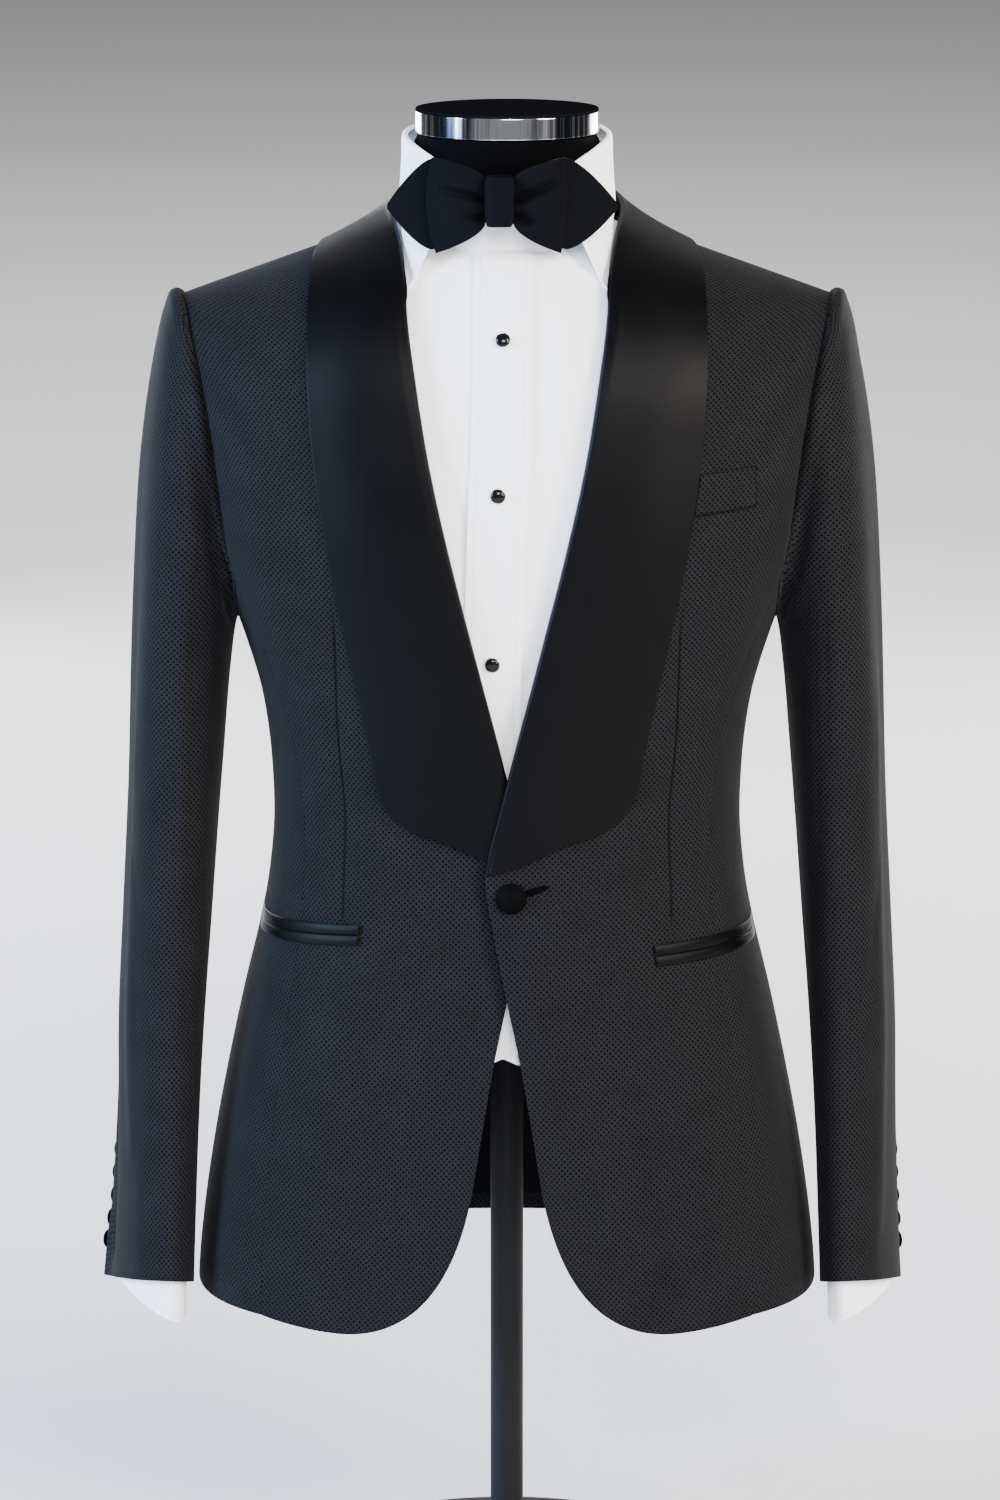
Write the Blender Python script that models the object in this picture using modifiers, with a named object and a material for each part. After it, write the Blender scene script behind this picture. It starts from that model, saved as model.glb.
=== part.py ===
"""A tuxedo on a limbless dress form: dinner jacket, dress shirt and bow tie.

Metres, +Z up. The wearer faces -Y and the wearer's left is +X. The origin is the centre of the
base plate's underside.
"""

import math

import bmesh
import bpy
import numpy as np
from mathutils import Vector

# ------------------------------------------------------------------ driving dimensions

SEAM = 0.0003  # what parts two pieces of cloth
SHOULDER_SEAM = 0.0005  # the cloth bends here, so its rims lean towards each other
CLOTH_WALL = 0.0020  # jacket cloth with its interlining
SATIN_WALL = 0.0016
SHIRT_WALL = 0.0012
EDGE_SHARE = 0.01  # the narrow first and last column of a panel, which keeps its rim square

SQUARENESS = 2.5  # exponent of the body's rounded-square sections
ARCH_START = 0.800  # height where the chest starts to turn over the shoulder
SHOULDER_TIP = 0.878
NECK_RADIUS = 0.0745  # of the jacket's neckline
NECK_Y = -0.008  # the neck stands a little forward of the shoulders
RIDGE_AT_NECK = 0.9270  # height of the shoulder seam at the neckline
RIDGE_SLOPE = 0.3554
RIDGE_ROUND = 0.024  # inside this x the two slopes round into each other, under the neck

FRONT_LIFT = 0.0056  # the left front lies on the right one and its lapel
BUTTON_HEIGHT = 0.504

FORM_BOTTOM = 0.395
NECK_TOP = 0.984
TOTAL_HEIGHT = 1.000
BASE_RADIUS = 0.150
BASE_HEIGHT = 0.012
POST_RADIUS = 0.011

BUTTON_RADIUS = 0.0100
SLEEVE_BUTTON_RADIUS = 0.0063
SLEEVE_BUTTONS = 5
SLEEVE_BUTTON_TOP = 0.2969
SLEEVE_BUTTON_STEP = 0.0134
STUD_RADIUS = 0.0043
STUD_HEIGHTS = (0.8605, 0.7644, 0.6557)


class Table:
    """Sections in order of their first column, read between rows on a smooth curve."""

    def __init__(self, columns, rows):
        values = np.array(rows, float)
        self.keys = values[:, 0]
        self.columns = {name: values[:, i] for i, name in enumerate(columns)}
        self.slopes = {name: np.gradient(column, self.keys) for name, column in self.columns.items()}

    def at(self, name, key):
        keys, values, slopes = self.keys, self.columns[name], self.slopes[name]
        key = min(max(key, keys[0]), keys[-1])
        i = min(int(np.searchsorted(keys, key, side="right")) - 1, len(keys) - 2)
        step = keys[i + 1] - keys[i]
        t = (key - keys[i]) / step
        return (
            values[i] * (2 * t**3 - 3 * t**2 + 1)
            + slopes[i] * step * (t**3 - 2 * t**2 + t)
            + values[i + 1] * (3 * t**2 - 2 * t**3)
            + slopes[i + 1] * step * (t**3 - t**2)
        )


BODY = Table(
    ("height", "half_width", "front", "back"),
    (
        (0.195, 0.2070, 0.1445, 0.1400),
        (0.226, 0.2060, 0.1435, 0.1385),
        (0.309, 0.1960, 0.1390, 0.1310),
        (0.364, 0.1855, 0.1350, 0.1240),
        (0.412, 0.1750, 0.1315, 0.1170),
        (0.460, 0.1635, 0.1285, 0.1100),
        (0.501, 0.1565, 0.1265, 0.1060),
        (0.541, 0.1535, 0.1260, 0.1045),
        (0.580, 0.1570, 0.1275, 0.1070),
        (0.620, 0.1650, 0.1300, 0.1120),
        (0.662, 0.1775, 0.1330, 0.1180),
        (0.700, 0.1895, 0.1345, 0.1230),
        (0.766, 0.1985, 0.1330, 0.1270),
        (0.800, 0.2045, 0.1290, 0.1270),
        (0.840, 0.2175, 0.1230, 0.1250),
        (0.878, 0.2268, 0.1180, 0.1220),
    ),
)

# Where the side seams lie, as shares of the half width, and the armhole above them.
SEAMS = Table(
    ("height", "front", "back"),
    (
        (0.200, 0.775, 0.800),
        (0.450, 0.830, 0.840),
        (0.600, 0.885, 0.885),
        (0.700, 0.937, 0.937),
        (0.878, 0.937, 0.937),
    ),
)
ARMHOLE_BOTTOM = 0.667
ARMHOLE_CORNER = 0.700  # where the side seams meet the armhole

# The edge of the V opening on each side, then the front edge down to the rounded corner.
FRONT_EDGE = Table(
    ("height", "x"),
    (
        (0.310, 0.0225),
        (0.355, 0.0152),
        (0.395, 0.0087),
        (0.436, 0.0013),
        (0.478, -0.0085),
        (0.518, -0.0141),
        (0.575, -0.0016),
        (0.633, 0.0137),
        (0.695, 0.0292),
        (0.725, 0.0366),
        (0.789, 0.0510),
        (0.842, 0.0592),
        (0.892, 0.0650),
        (0.927, 0.0745),
    ),
)

# The shawl collar from the lapel's lower end round to the centre back: its fold line, its outer
# edge, and how far it stands up from the body (0 on the chest, 1 round the neck). The last row
# lies past the centre back, so that the curves cross it squarely.
SHAWL = Table(
    ("station", "fold_x", "fold_y", "fold_z", "edge_x", "edge_y", "edge_z", "stand"),
    (
        (0.0, -0.0137, -0.127, 0.5190, 0.0100, -0.126, 0.5262, 0.0),
        (0.3, -0.0128, -0.127, 0.5280, 0.0370, -0.124, 0.5385, 0.0),
        (0.6, -0.0108, -0.127, 0.5380, 0.0620, -0.120, 0.5470, 0.0),
        (1.0, -0.0068, -0.127, 0.5530, 0.0760, -0.117, 0.5590, 0.0),
        (2.0, 0.0060, -0.129, 0.6050, 0.0880, -0.117, 0.6000, 0.0),
        (3.0, 0.0215, -0.131, 0.6650, 0.1010, -0.118, 0.6600, 0.0),
        (4.0, 0.0366, -0.133, 0.7250, 0.1135, -0.118, 0.7200, 0.0),
        (5.0, 0.0500, -0.129, 0.7850, 0.1225, -0.115, 0.7800, 0.0),
        (6.0, 0.0592, -0.116, 0.8420, 0.1262, -0.108, 0.8250, 0.0),
        (7.0, 0.0635, -0.100, 0.8750, 0.1268, -0.093, 0.8600, 0.05),
        (8.0, 0.0650, -0.075, 0.9030, 0.1262, -0.060, 0.8880, 0.35),
        (9.0, 0.0696, -0.041, 0.9245, 0.1230, -0.020, 0.9040, 0.75),
        (10.0, 0.0728, -0.006, 0.9320, 0.1140, 0.022, 0.9060, 1.0),
        (11.0, 0.0680, 0.023, 0.9400, 0.0940, 0.055, 0.9030, 1.0),
        (12.0, 0.0390, 0.0555, 0.9510, 0.0530, 0.078, 0.9080, 1.0),
        (13.0, 0.0003, 0.0665, 0.9550, 0.0003, 0.084, 0.9110, 1.0),
        (14.0, -0.0390, 0.0555, 0.9510, -0.0530, 0.078, 0.9080, 1.0),
    ),
)

# Sleeve sections from the armhole to below the cuff. Each ring passes through an outer and an
# inner point; sway is how far its front turns inwards, hang how far its front is cut higher.
SLEEVE = Table(
    ("station", "outer_x", "outer_z", "inner_x", "inner_z", "centre_y", "half_depth", "sway", "hang"),
    (
        (0.0, 0.2125, 0.8780, 0.1770, 0.6670, 0.000, 0.0610, 0.000, 0.000),
        (0.3, 0.2160, 0.8795, 0.1775, 0.6665, 0.000, 0.0635, 0.000, 0.000),
        (1.0, 0.2235, 0.8690, 0.1783, 0.6625, 0.000, 0.0655, 0.000, 0.000),
        (2.0, 0.2315, 0.8280, 0.1792, 0.6550, 0.000, 0.0670, 0.001, 0.000),
        (3.0, 0.2385, 0.7700, 0.1805, 0.6430, 0.001, 0.0670, 0.002, 0.000),
        (4.0, 0.2430, 0.7000, 0.1830, 0.6200, 0.002, 0.0660, 0.003, 0.000),
        (5.0, 0.2470, 0.6250, 0.1865, 0.5800, 0.003, 0.0640, 0.005, 0.000),
        (6.0, 0.2505, 0.5450, 0.1910, 0.5300, 0.003, 0.0610, 0.007, 0.000),
        (7.0, 0.2540, 0.4700, 0.1960, 0.4700, 0.000, 0.0590, 0.009, 0.000),
        (8.0, 0.2570, 0.3950, 0.2020, 0.4000, -0.006, 0.0565, 0.011, 0.000),
        (9.0, 0.2590, 0.3150, 0.2070, 0.3250, -0.015, 0.0540, 0.013, 0.003),
        (10.0, 0.2635, 0.2150, 0.2110, 0.2260, -0.026, 0.0520, 0.014, 0.008),
        (11.0, 0.2630, 0.1950, 0.2110, 0.1950, -0.028, 0.0515, 0.014, 0.008),
    ),
)
SLEEVE_HEM = 10.0
HEM_HEIGHT = 0.2200
STATION_ABOVE_HEM = 0.100  # height of one station on each side of the hem
STATION_BELOW_HEM = 0.025
FRONT_SEAM_ANGLE = 125.0
HIND_SEAM = Table(("station", "angle"), ((0.0, -108.0), (5.0, -95.0), (8.0, -75.0), (11.0, -62.0)))

CUFF_TOP = 0.262
CUFF_BOTTOM = 0.1970
CUFF_MIDDLE = 0.2300
CUFF_INNER_X = 0.2165  # its lower edge rises outwards from here
CUFF_SLANT = 0.42
CUFF_INSET = 0.0050
SHIRT_SLEEVE_INSET = 0.0088


def ramp(value, low, high):
    """0 below low, 1 above high, smooth between."""
    t = min(max((value - low) / (high - low), 0.0), 1.0)
    return t * t * (3 - 2 * t)


def spread(count, edge=EDGE_SHARE):
    """Shares from 0 to 1 with a narrow first and last step."""
    inner = np.linspace(0.0, 1.0, count - 1)[1:-1]
    return np.concatenate(([0.0, edge], inner, [1.0 - edge, 1.0]))


# ------------------------------------------------------------------ the body's surface


def ridge(x):
    """Height of the shoulder seam."""
    reach = abs(x)
    if reach < RIDGE_ROUND:
        reach = (x * x / RIDGE_ROUND + RIDGE_ROUND) / 2
    return RIDGE_AT_NECK + RIDGE_SLOPE * (NECK_RADIUS - reach)


def turn_of(level):
    """How far a level has turned over the shoulder, 0 to a quarter turn."""
    return max(level - ARCH_START, 0.0) / (SHOULDER_TIP - ARCH_START) * math.pi / 2


def level_of(x, z, inset=0.0):
    """The level of a point: its height on the chest, its share of the turn above."""
    if z <= ARCH_START:
        return z
    rise = min((z - ARCH_START) / (ridge(x) - inset - ARCH_START), 1.0)
    return ARCH_START + math.asin(rise) / (math.pi / 2) * (SHOULDER_TIP - ARCH_START)


def depth_at(x, level, back, inset=0.0):
    half = BODY.at("half_width", level) - inset
    depth = BODY.at("back" if back else "front", level) - inset
    share = min(abs(x) / half, 1.0)
    return depth * (1 - share**SQUARENESS) ** (1 / SQUARENESS)


def body(x, level, back=False, inset=0.0):
    """A point of the body's surface, or inset inside it."""
    turn = turn_of(level)
    y = depth_at(x, level, back, inset) * math.cos(turn)
    z = level
    if level > ARCH_START:
        z = ARCH_START + (ridge(x) - inset - ARCH_START) * math.sin(turn)
    return Vector((x, y if back else -y, z))


def body_round(angle, level, inset=0.0):
    """The same surface by the angle from the centre front, in radians, for the sides."""
    half = BODY.at("half_width", level) - inset
    front = math.cos(angle) >= 0
    depth = BODY.at("front" if front else "back", level) - inset
    x = half * math.sin(angle) ** (2 / SQUARENESS)
    y = depth * abs(math.cos(angle)) ** (2 / SQUARENESS) * math.cos(turn_of(level))
    z = level
    if level > ARCH_START:
        z = ARCH_START + (ridge(x) - inset - ARCH_START) * math.sin(turn_of(level))
    return Vector((x, -y if front else y, z))


def outward(x, level, back=False):
    """The surface's normal, pointing out of the body."""
    nudge = 0.0004
    side = 1 if x >= 0 else -1
    across = body(x, level, back) - body(x - side * nudge, level, back)
    low = max(level - nudge, BODY.keys[0])
    up = body(x, low + nudge, back) - body(x, low, back)
    normal = across.cross(up).normalized()
    point = body(x, level, back)
    hub = Vector((0.0, 0.0, min(point.z, ARCH_START - 0.05)))
    return normal if normal.dot(point - hub) > 0 else -normal


def off_body(x, level, out, back=False):
    """A point moved out from the surface."""
    return body(x, level, back) + outward(x, level, back) * out


def nearest(point):
    """The x, level and side of the surface point that a nearby point projects to, and its distance."""
    back = point.y > 0
    level = min(point.z, ARCH_START)
    if point.z > ARCH_START:
        for _ in range(6):
            reach = abs(point.y) / max(depth_at(point.x, level, back), 1e-6)
            rise = (point.z - ARCH_START) / (ridge(point.x) - ARCH_START)
            level = ARCH_START + math.atan2(rise, reach) / (math.pi / 2) * (SHOULDER_TIP - ARCH_START)
    distance = (point - body(point.x, level, back)).dot(outward(point.x, level, back))
    return level, back, distance


def clear_of_body(point, out):
    """The point itself, or moved out to lie at least this far off the body."""
    level, back, distance = nearest(point)
    return point + outward(point.x, level, back) * max(out - distance, 0.0)


def seam_angle(level, which):
    """Angle of a side seam from the centre front, in radians."""
    angle = math.asin(SEAMS.at(which, level) ** (SQUARENESS / 2))
    return angle if which == "front" else math.pi - angle


SEAM_TRIM = SEAM / 2 / 0.13  # half a seam's gap as an angle on the body


def seam_x(level, which):
    """Where a front or a back ends, just short of the side seam or the armhole."""
    angle = math.asin(SEAMS.at(which, level) ** (SQUARENESS / 2)) - SEAM_TRIM
    return BODY.at("half_width", level) * math.sin(angle) ** (2 / SQUARENESS)


# ------------------------------------------------------------------ making objects


def clear_scene():
    for item in list(bpy.data.objects):
        bpy.data.objects.remove(item, do_unlink=True)


def collection(name):
    made = bpy.data.collections.new(name)
    bpy.context.scene.collection.children.link(made)
    return made


def finish_of(name, colour, roughness, metallic=0.0):
    made = bpy.data.materials.new(name)
    made.use_nodes = True
    shader = made.node_tree.nodes["Principled BSDF"]
    shader.inputs["Base Color"].default_value = (*colour, 1.0)
    shader.inputs["Roughness"].default_value = roughness
    shader.inputs["Metallic"].default_value = metallic
    return made


def add_object(name, mesh_data, finish):
    made = bpy.data.objects.new(name, mesh_data)
    made.data.materials.append(FINISHES[finish])
    GARMENT.objects.link(made)
    return made


def grid_mesh(name, rows, closed=False):
    """A grid primitive whose points are moved to rows[row][column]."""
    down, across = len(rows) - 1, len(rows[0]) - 1
    work = bmesh.new()
    bmesh.ops.create_grid(work, x_segments=across, y_segments=down, size=1.0)
    for vertex in work.verts:
        column = round((vertex.co.x + 1) / 2 * across)
        row = round((vertex.co.y + 1) / 2 * down)
        vertex.co = rows[row][column]
    if closed:
        bmesh.ops.remove_doubles(work, verts=work.verts, dist=1e-6)
    made = bpy.data.meshes.new(name)
    work.to_mesh(made)
    work.free()
    made.shade_smooth()
    return made


def sheet(name, finish, rows, wall, hub, closed=False):
    """A wall of cloth whose outer face runs through rows; hub(point) is a place inside it."""
    mesh_data = grid_mesh(name, rows, closed)
    facing = sum(
        face.normal.dot(face.center - hub(face.center)) * face.area for face in mesh_data.polygons
    )
    if facing < 0:
        mesh_data.flip_normals()
    made = add_object(name, mesh_data, finish)
    thickness = made.modifiers.new("wall", "SOLIDIFY")
    thickness.thickness = wall
    thickness.offset = -1.0
    return made


def turned(name, finish, profile, place, axis=(0, 0, 1), steps=32, ring=False):
    """A profile of radius and height pairs, top to bottom down its outer side, turned round an axis."""
    mesh_data = bpy.data.meshes.new(name)
    points = [(radius, 0.0, height) for radius, height in profile]
    edges = [(i, i + 1) for i in range(len(points) - 1)]
    if ring:
        edges.append((len(points) - 1, 0))
    mesh_data.from_pydata(points, edges, [])
    made = add_object(name, mesh_data, finish)
    screw = made.modifiers.new("turn", "SCREW")
    screw.steps = screw.render_steps = steps
    screw.use_merge_vertices = True
    screw.merge_threshold = 0.00001
    screw.use_smooth_shade = True
    made.location = place
    made.rotation_euler = Vector((0, 0, 1)).rotation_difference(Vector(axis)).to_euler()
    return made


def trunk(point):
    """A place inside the body at a point's height."""
    return Vector((point.x * 0.3, 0.0, min(point.z, 0.72)))


def arm(point):
    """A place inside the sleeve at a point's height."""
    side = 1 if point.x > 0 else -1
    return Vector((side * 0.222, -0.01, min(point.z, 0.72)))


def behind(point):
    """A place behind a piece of the bow."""
    return point + Vector((0, 0.02, 0))


def mirrored(rows):
    return [[Vector((-p.x, p.y, p.z)) for p in row] for row in rows]


# ------------------------------------------------------------------ jacket body

PANEL_LEVELS = (
    0.216, 0.262, 0.310, 0.360, 0.410, 0.456, 0.500, 0.530, 0.560, 0.590, 0.620,
    0.660, 0.700, 0.740, 0.775, 0.800, 0.815, 0.830, 0.845, 0.859, 0.871, 0.878,
)  # fmt: skip
ARCH_LEVELS = tuple(level for level in PANEL_LEVELS if level >= ARCH_START)
HEM_FRONT_SEAM = 0.2185  # height of the hem at the front side seam, and so on round to the back
HEM_BACK_SEAM = 0.2235
HEM_BACK = 0.2245
CORNER_START = (0.0225, 0.310)
CORNER_PULL = (0.0415, 0.2095)
CORNER_END = (0.1150, 0.2135)
CORNER_SHARE = 0.68
EDGE_UNDER_LAPEL = 0.0034  # the front panel stops this far short of the lapel's fold


def front_lift(x, level):
    """How far the left front rises to lap over the right one."""
    across = 1 - ramp(x, 0.010, 0.100)
    return FRONT_LIFT * across * (1 - ramp(level, 0.590, 0.700)) * ramp(level, 0.300, 0.430)


def front_inner_edge(level):
    """The x of a front's free edge: its front edge, then under the lapel's fold."""
    if level > 0.495:
        z = level
        for _ in range(8):
            x = FRONT_EDGE.at("x", z)
            z = body(x, level).z
        return FRONT_EDGE.at("x", z) + EDGE_UNDER_LAPEL * ramp(level, 0.495, 0.518)
    return FRONT_EDGE.at("x", level)


def armhole_x(level, which):
    return BODY.at("half_width", level) * SEAMS.at(which, level)


def hem_height(share):
    """The front's lower edge from the rounded corner to the side seam."""
    if share < CORNER_SHARE:
        t = share / CORNER_SHARE
        return tuple(
            a * (1 - t) ** 2 + 2 * b * t * (1 - t) + c * t**2
            for a, b, c in zip(CORNER_START, CORNER_PULL, CORNER_END)
        )
    t = (share - CORNER_SHARE) / (1 - CORNER_SHARE)
    end_x = seam_x(HEM_FRONT_SEAM, "front")
    rise = HEM_FRONT_SEAM - CORNER_END[1]
    return CORNER_END[0] + (end_x - CORNER_END[0]) * t, CORNER_END[1] + rise * t**1.5


def front_rows(lifted):
    rows = []
    low = PANEL_LEVELS[0]
    for level in PANEL_LEVELS:
        ease = 1 - ramp(level, low, 0.470)
        inner_level = level + (CORNER_START[1] - low) * (1 - min((level - low) / (0.470 - low), 1))
        inner_x = front_inner_edge(inner_level)
        outer_x = seam_x(level, "front")
        row = []
        for share in spread(9):
            x = inner_x + (outer_x - inner_x) * share
            at = inner_level + (level - inner_level) * share
            if ease > 0:
                start_x = CORNER_START[0] + (seam_x(low, "front") - CORNER_START[0]) * share
                start = CORNER_START[1] + (low - CORNER_START[1]) * share
                hem_x, hem_z = hem_height(share)
                x += (hem_x - start_x) * ease
                at += (hem_z - start) * ease
            at = min(at, SHOULDER_TIP - 1e-5)
            out = front_lift(x, at) if lifted else 0.0
            point = off_body(x, at, out)
            if level == SHOULDER_TIP:
                point.y = -SHOULDER_SEAM / 2
            row.append(point)
        rows.append(row)
    return rows


def side_rows():
    """The side panel: the fronts' levels below, then up to the armhole's rounded bottom."""
    last = 0.620
    rows = []
    for level in [level for level in PANEL_LEVELS if level <= last] + [0.660, ARMHOLE_CORNER]:
        row = []
        for across in spread(5, 0.03):
            top = ARMHOLE_BOTTOM + (ARMHOLE_CORNER - ARMHOLE_BOTTOM) * abs(across * 2 - 1) ** 2.2
            at = level
            if level > last:
                at = last + (level - last) * (top - last) / (ARMHOLE_CORNER - last)
            if level == PANEL_LEVELS[0]:
                at = HEM_FRONT_SEAM + (HEM_BACK_SEAM - HEM_FRONT_SEAM) * across
            low, high = seam_angle(at, "front") + SEAM_TRIM, seam_angle(at, "back") - SEAM_TRIM
            row.append(body_round(low + (high - low) * across, at))
        rows.append(row)
    return rows


BACK_NECK_SHARE = 0.35
BACK_NECK_HEIGHT = 0.9255
BACK_SHARES = (0.0, 0.01, 0.10, 0.19, 0.27, BACK_NECK_SHARE, 0.52, 0.69, 0.84, 0.99, 1.0)


def to_neckline(x, level, share, tip_x, neck):
    """Raises the rows of a panel so that its top runs along the neckline, then the shoulder seam."""
    neck_share, neck_radius, neck_height, inset = neck
    rise = ramp(level, 0.720, SHOULDER_TIP)
    if share <= neck_share:
        part = share / neck_share
        top_x = neck_radius * math.sin(part * math.pi / 2)
        top_z = neck_height + (ridge(neck_radius) - inset - neck_height) * part**2.4
        top_level = level_of(top_x, top_z, inset)
    else:
        part = (share - neck_share) / (1 - neck_share)
        top_x = neck_radius + (tip_x - neck_radius) * part
        top_level = SHOULDER_TIP
    at = min(level + (top_level - SHOULDER_TIP) * rise, SHOULDER_TIP - 1e-5)
    return x + (top_x - tip_x * share) * rise, at


def back_rows():
    """The back from the hem to the shoulder seam and the back neckline."""
    neck = (BACK_NECK_SHARE, NECK_RADIUS, BACK_NECK_HEIGHT, 0.0)
    tip_x = seam_x(SHOULDER_TIP, "back")
    rows = []
    for level in PANEL_LEVELS:
        row = []
        for share in BACK_SHARES:
            x, at = to_neckline(seam_x(level, "back") * share, level, share, tip_x, neck)
            if level == PANEL_LEVELS[0]:
                at = HEM_BACK + (HEM_BACK_SEAM - HEM_BACK) * share
            point = body(max(x, SEAM / 2), at, True)
            if level == SHOULDER_TIP and share >= BACK_NECK_SHARE:
                point.y = SHOULDER_SEAM / 2
            row.append(point)
        rows.append(row)
    return rows


def lining_rows():
    """The lining inside the skirt of the back."""
    rows = []
    for height in np.linspace(0.236, 0.440, 5):
        reach = 0.62 * BODY.at("half_width", height)
        row = [body(x, height, True, CLOTH_WALL + 0.0014) for x in np.linspace(-reach, reach, 11)]
        rows.append(row)
    return rows


# ------------------------------------------------------------------ shawl collar

FOLD_POINTS = 4
LEAF_POINTS = 5
LAPEL_GAP = 0.0005
SHAWL_STATIONS = (
    0.0, 0.3, 0.6, 1.0, 1.5, 2.0, 2.6, 3.3, 4.0, 4.6, 5.2, 5.8, 6.3,
    6.8, 7.3, 7.8, 8.3, 8.8, 9.3, 9.8, 10.4, 11.0, 11.6, 12.3, 12.95, 13.0,
)  # fmt: skip


def shawl_section(station, lifted):
    """One cross-section, from under the fold out to the leaf's edge."""
    fold = Vector([SHAWL.at(f"fold_{axis}", station) for axis in "xyz"])
    edge = Vector([SHAWL.at(f"edge_{axis}", station) for axis in "xyz"])
    stand = SHAWL.at("stand", station)
    low = ramp(station, 1.0, 3.0)
    shoulder = ramp(station, 5.0, 7.0)
    flat = LAPEL_GAP + 0.0011 * shoulder + 0.0008 * (1 - ramp(station, 1.0, 2.5)) + SATIN_WALL
    radius = 0.0021 + 0.0007 * low + 0.0006 * stand
    level, back, _ = nearest(fold)
    normal = outward(fold.x, level, back)
    base = body(fold.x, level, back).lerp(fold, stand)
    up = normal.lerp(Vector((0, 0, 1)), stand).normalized()
    reach = edge - base
    over = (reach - up * reach.dot(up)).normalized()
    end_level, end_back, _ = nearest(edge)
    end = off_body(edge.x, end_level, flat, end_back)
    depth = (0.0022 + 0.0010 * low) * (1 - stand) + 0.0270 * stand
    floor = -0.0034 + 0.0040 * ramp(station, 5.0, 8.0)
    section = [clear_of_body(base - up * depth, floor)]
    last = math.radians(90 + 45 * stand)
    for i in range(FOLD_POINTS):
        turn = last * i / (FOLD_POINTS - 1)
        section.append(base + over * radius * (1 - math.cos(turn)) + up * radius * math.sin(turn))
    start = section[-1]
    roll = 0.0016 * low * (1 - stand)
    for i in range(1, LEAF_POINTS + 1):
        share = i / LEAF_POINTS
        point = start.lerp(end, share)
        point += over * (0.0030 * stand * math.sin(math.pi * share))
        section.append(clear_of_body(point, flat + roll * (1 - share) ** 2))
    if lifted:
        section = [p + outward(p.x, nearest(p)[0], False) * front_lift(p.x, p.z) for p in section]
    return section


def shawl_rows(lifted):
    return [shawl_section(station, lifted) for station in SHAWL_STATIONS]


def collar_hub(point):
    """Inside a lapel's roll: towards the trunk's axis, or the neck's at collar height."""
    if point.z > 0.925:
        return Vector((0.0, NECK_Y, 0.90))
    return trunk(point)


# ------------------------------------------------------------------ sleeves


def armhole_loop(which):
    """Points of the armhole from the shoulder tip to the underarm, down its front or back."""
    points = []
    for share in np.linspace(1.0, 0.0, 30):
        level = ARMHOLE_CORNER + (SHOULDER_TIP - ARMHOLE_CORNER) * share
        points.append(body(armhole_x(level, which), level, which == "back"))
    corner = seam_angle(ARMHOLE_CORNER, which)
    for share in np.linspace(0.0, 1.0, 15)[1:]:
        level = ARMHOLE_BOTTOM + (ARMHOLE_CORNER - ARMHOLE_BOTTOM) * (1 - share) ** 2.2
        points.append(body_round(corner + (math.pi / 2 - corner) * share, level))
    return points


def along(points, share):
    """The point at a share of a polyline's length."""
    lengths = [0.0]
    for a, b in zip(points, points[1:]):
        lengths.append(lengths[-1] + (b - a).length)
    goal = share * lengths[-1]
    for i in range(1, len(points)):
        if goal <= lengths[i] or i == len(points) - 1:
            part = (goal - lengths[i - 1]) / (lengths[i] - lengths[i - 1])
            return points[i - 1].lerp(points[i], min(max(part, 0.0), 1.0))
    return points[-1]


def plain_ring(angle, station):
    """A point of a sleeve section: 0 degrees outside, 90 in front, 180 inside, -90 behind."""
    values = {name: SLEEVE.at(name, station) for name in SLEEVE.columns}
    outer = Vector((values["outer_x"], 0, values["outer_z"]))
    inner = Vector((values["inner_x"], 0, values["inner_z"]))
    middle = (outer + inner) / 2
    turn = math.radians(angle)
    point = middle + (outer - inner) / 2 * math.cos(turn)
    point.y = values["centre_y"] - values["half_depth"] * math.sin(turn)
    point.x -= values["sway"] * math.sin(turn)
    point.z += values["hang"] * math.sin(turn)
    return point


ARMHOLE_LOOPS = {which: armhole_loop(which) for which in ("front", "back")}
SLEEVE_SEAM = 0.0006  # the sleeve's head bends away from the armhole, so its seam is parted more
HEAD_BLEND = 3.0  # stations over which the armhole's shape turns into the sleeve's


def sleeve_point(angle, station):
    angle = (angle + 180) % 360 - 180
    which = "front" if angle >= 0 else "back"
    hole = along(ARMHOLE_LOOPS[which], abs(angle) / 180)
    point = plain_ring(angle, station)
    blend = max(1 - station / HEAD_BLEND, 0.0) ** 1.5
    return point + (hole - plain_ring(angle, 0.0)) * blend + Vector((SLEEVE_SEAM, 0, 0))


def sleeve_outward(angle, station):
    """The sleeve's normal, pointing out of it."""
    around = sleeve_point(angle + 1.5, station) - sleeve_point(angle - 1.5, station)
    down = sleeve_point(angle, station + 0.08) - sleeve_point(angle, max(station - 0.08, 0.0))
    return around.cross(down).normalized()


SLEEVE_STATIONS = (0.0, 0.06, 0.35, 0.8, 1.5, 2.4, 3.6, 5.0, 6.4, 7.8, 9.0, 9.94, SLEEVE_HEM)


def seam_trim(angle, station):
    """Half a seam's gap as an angle round the sleeve, in degrees."""
    step = (sleeve_point(angle + 1, station) - sleeve_point(angle - 1, station)).length
    return (SEAM / 2 + 0.0001) / (step / 2)


BUTTON_LINE = 13.0  # degrees from the hind seam to the sleeve buttons
NEAR_SEAM = (0.0, 1.2, BUTTON_LINE, 27.0, 44.0)


def sleeve_rows(seams, middle):
    """One half of the sleeve between two seams; its columns are closest where it bends most."""
    rows = []
    for station in SLEEVE_STATIONS:
        low, high = seams(station)
        low, high = low + seam_trim(low, station), high - seam_trim(high, station)
        angles = [low + step for step in NEAR_SEAM]
        angles += list(np.linspace(low + NEAR_SEAM[-1], high - NEAR_SEAM[-1], middle + 1)[1:])
        angles += [high - step for step in NEAR_SEAM[-2::-1]]
        rows.append([sleeve_point(angle, station) for angle in angles])
    return rows


def top_sleeve_rows():
    return sleeve_rows(lambda station: (HIND_SEAM.at("angle", station), FRONT_SEAM_ANGLE), 7)


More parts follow.
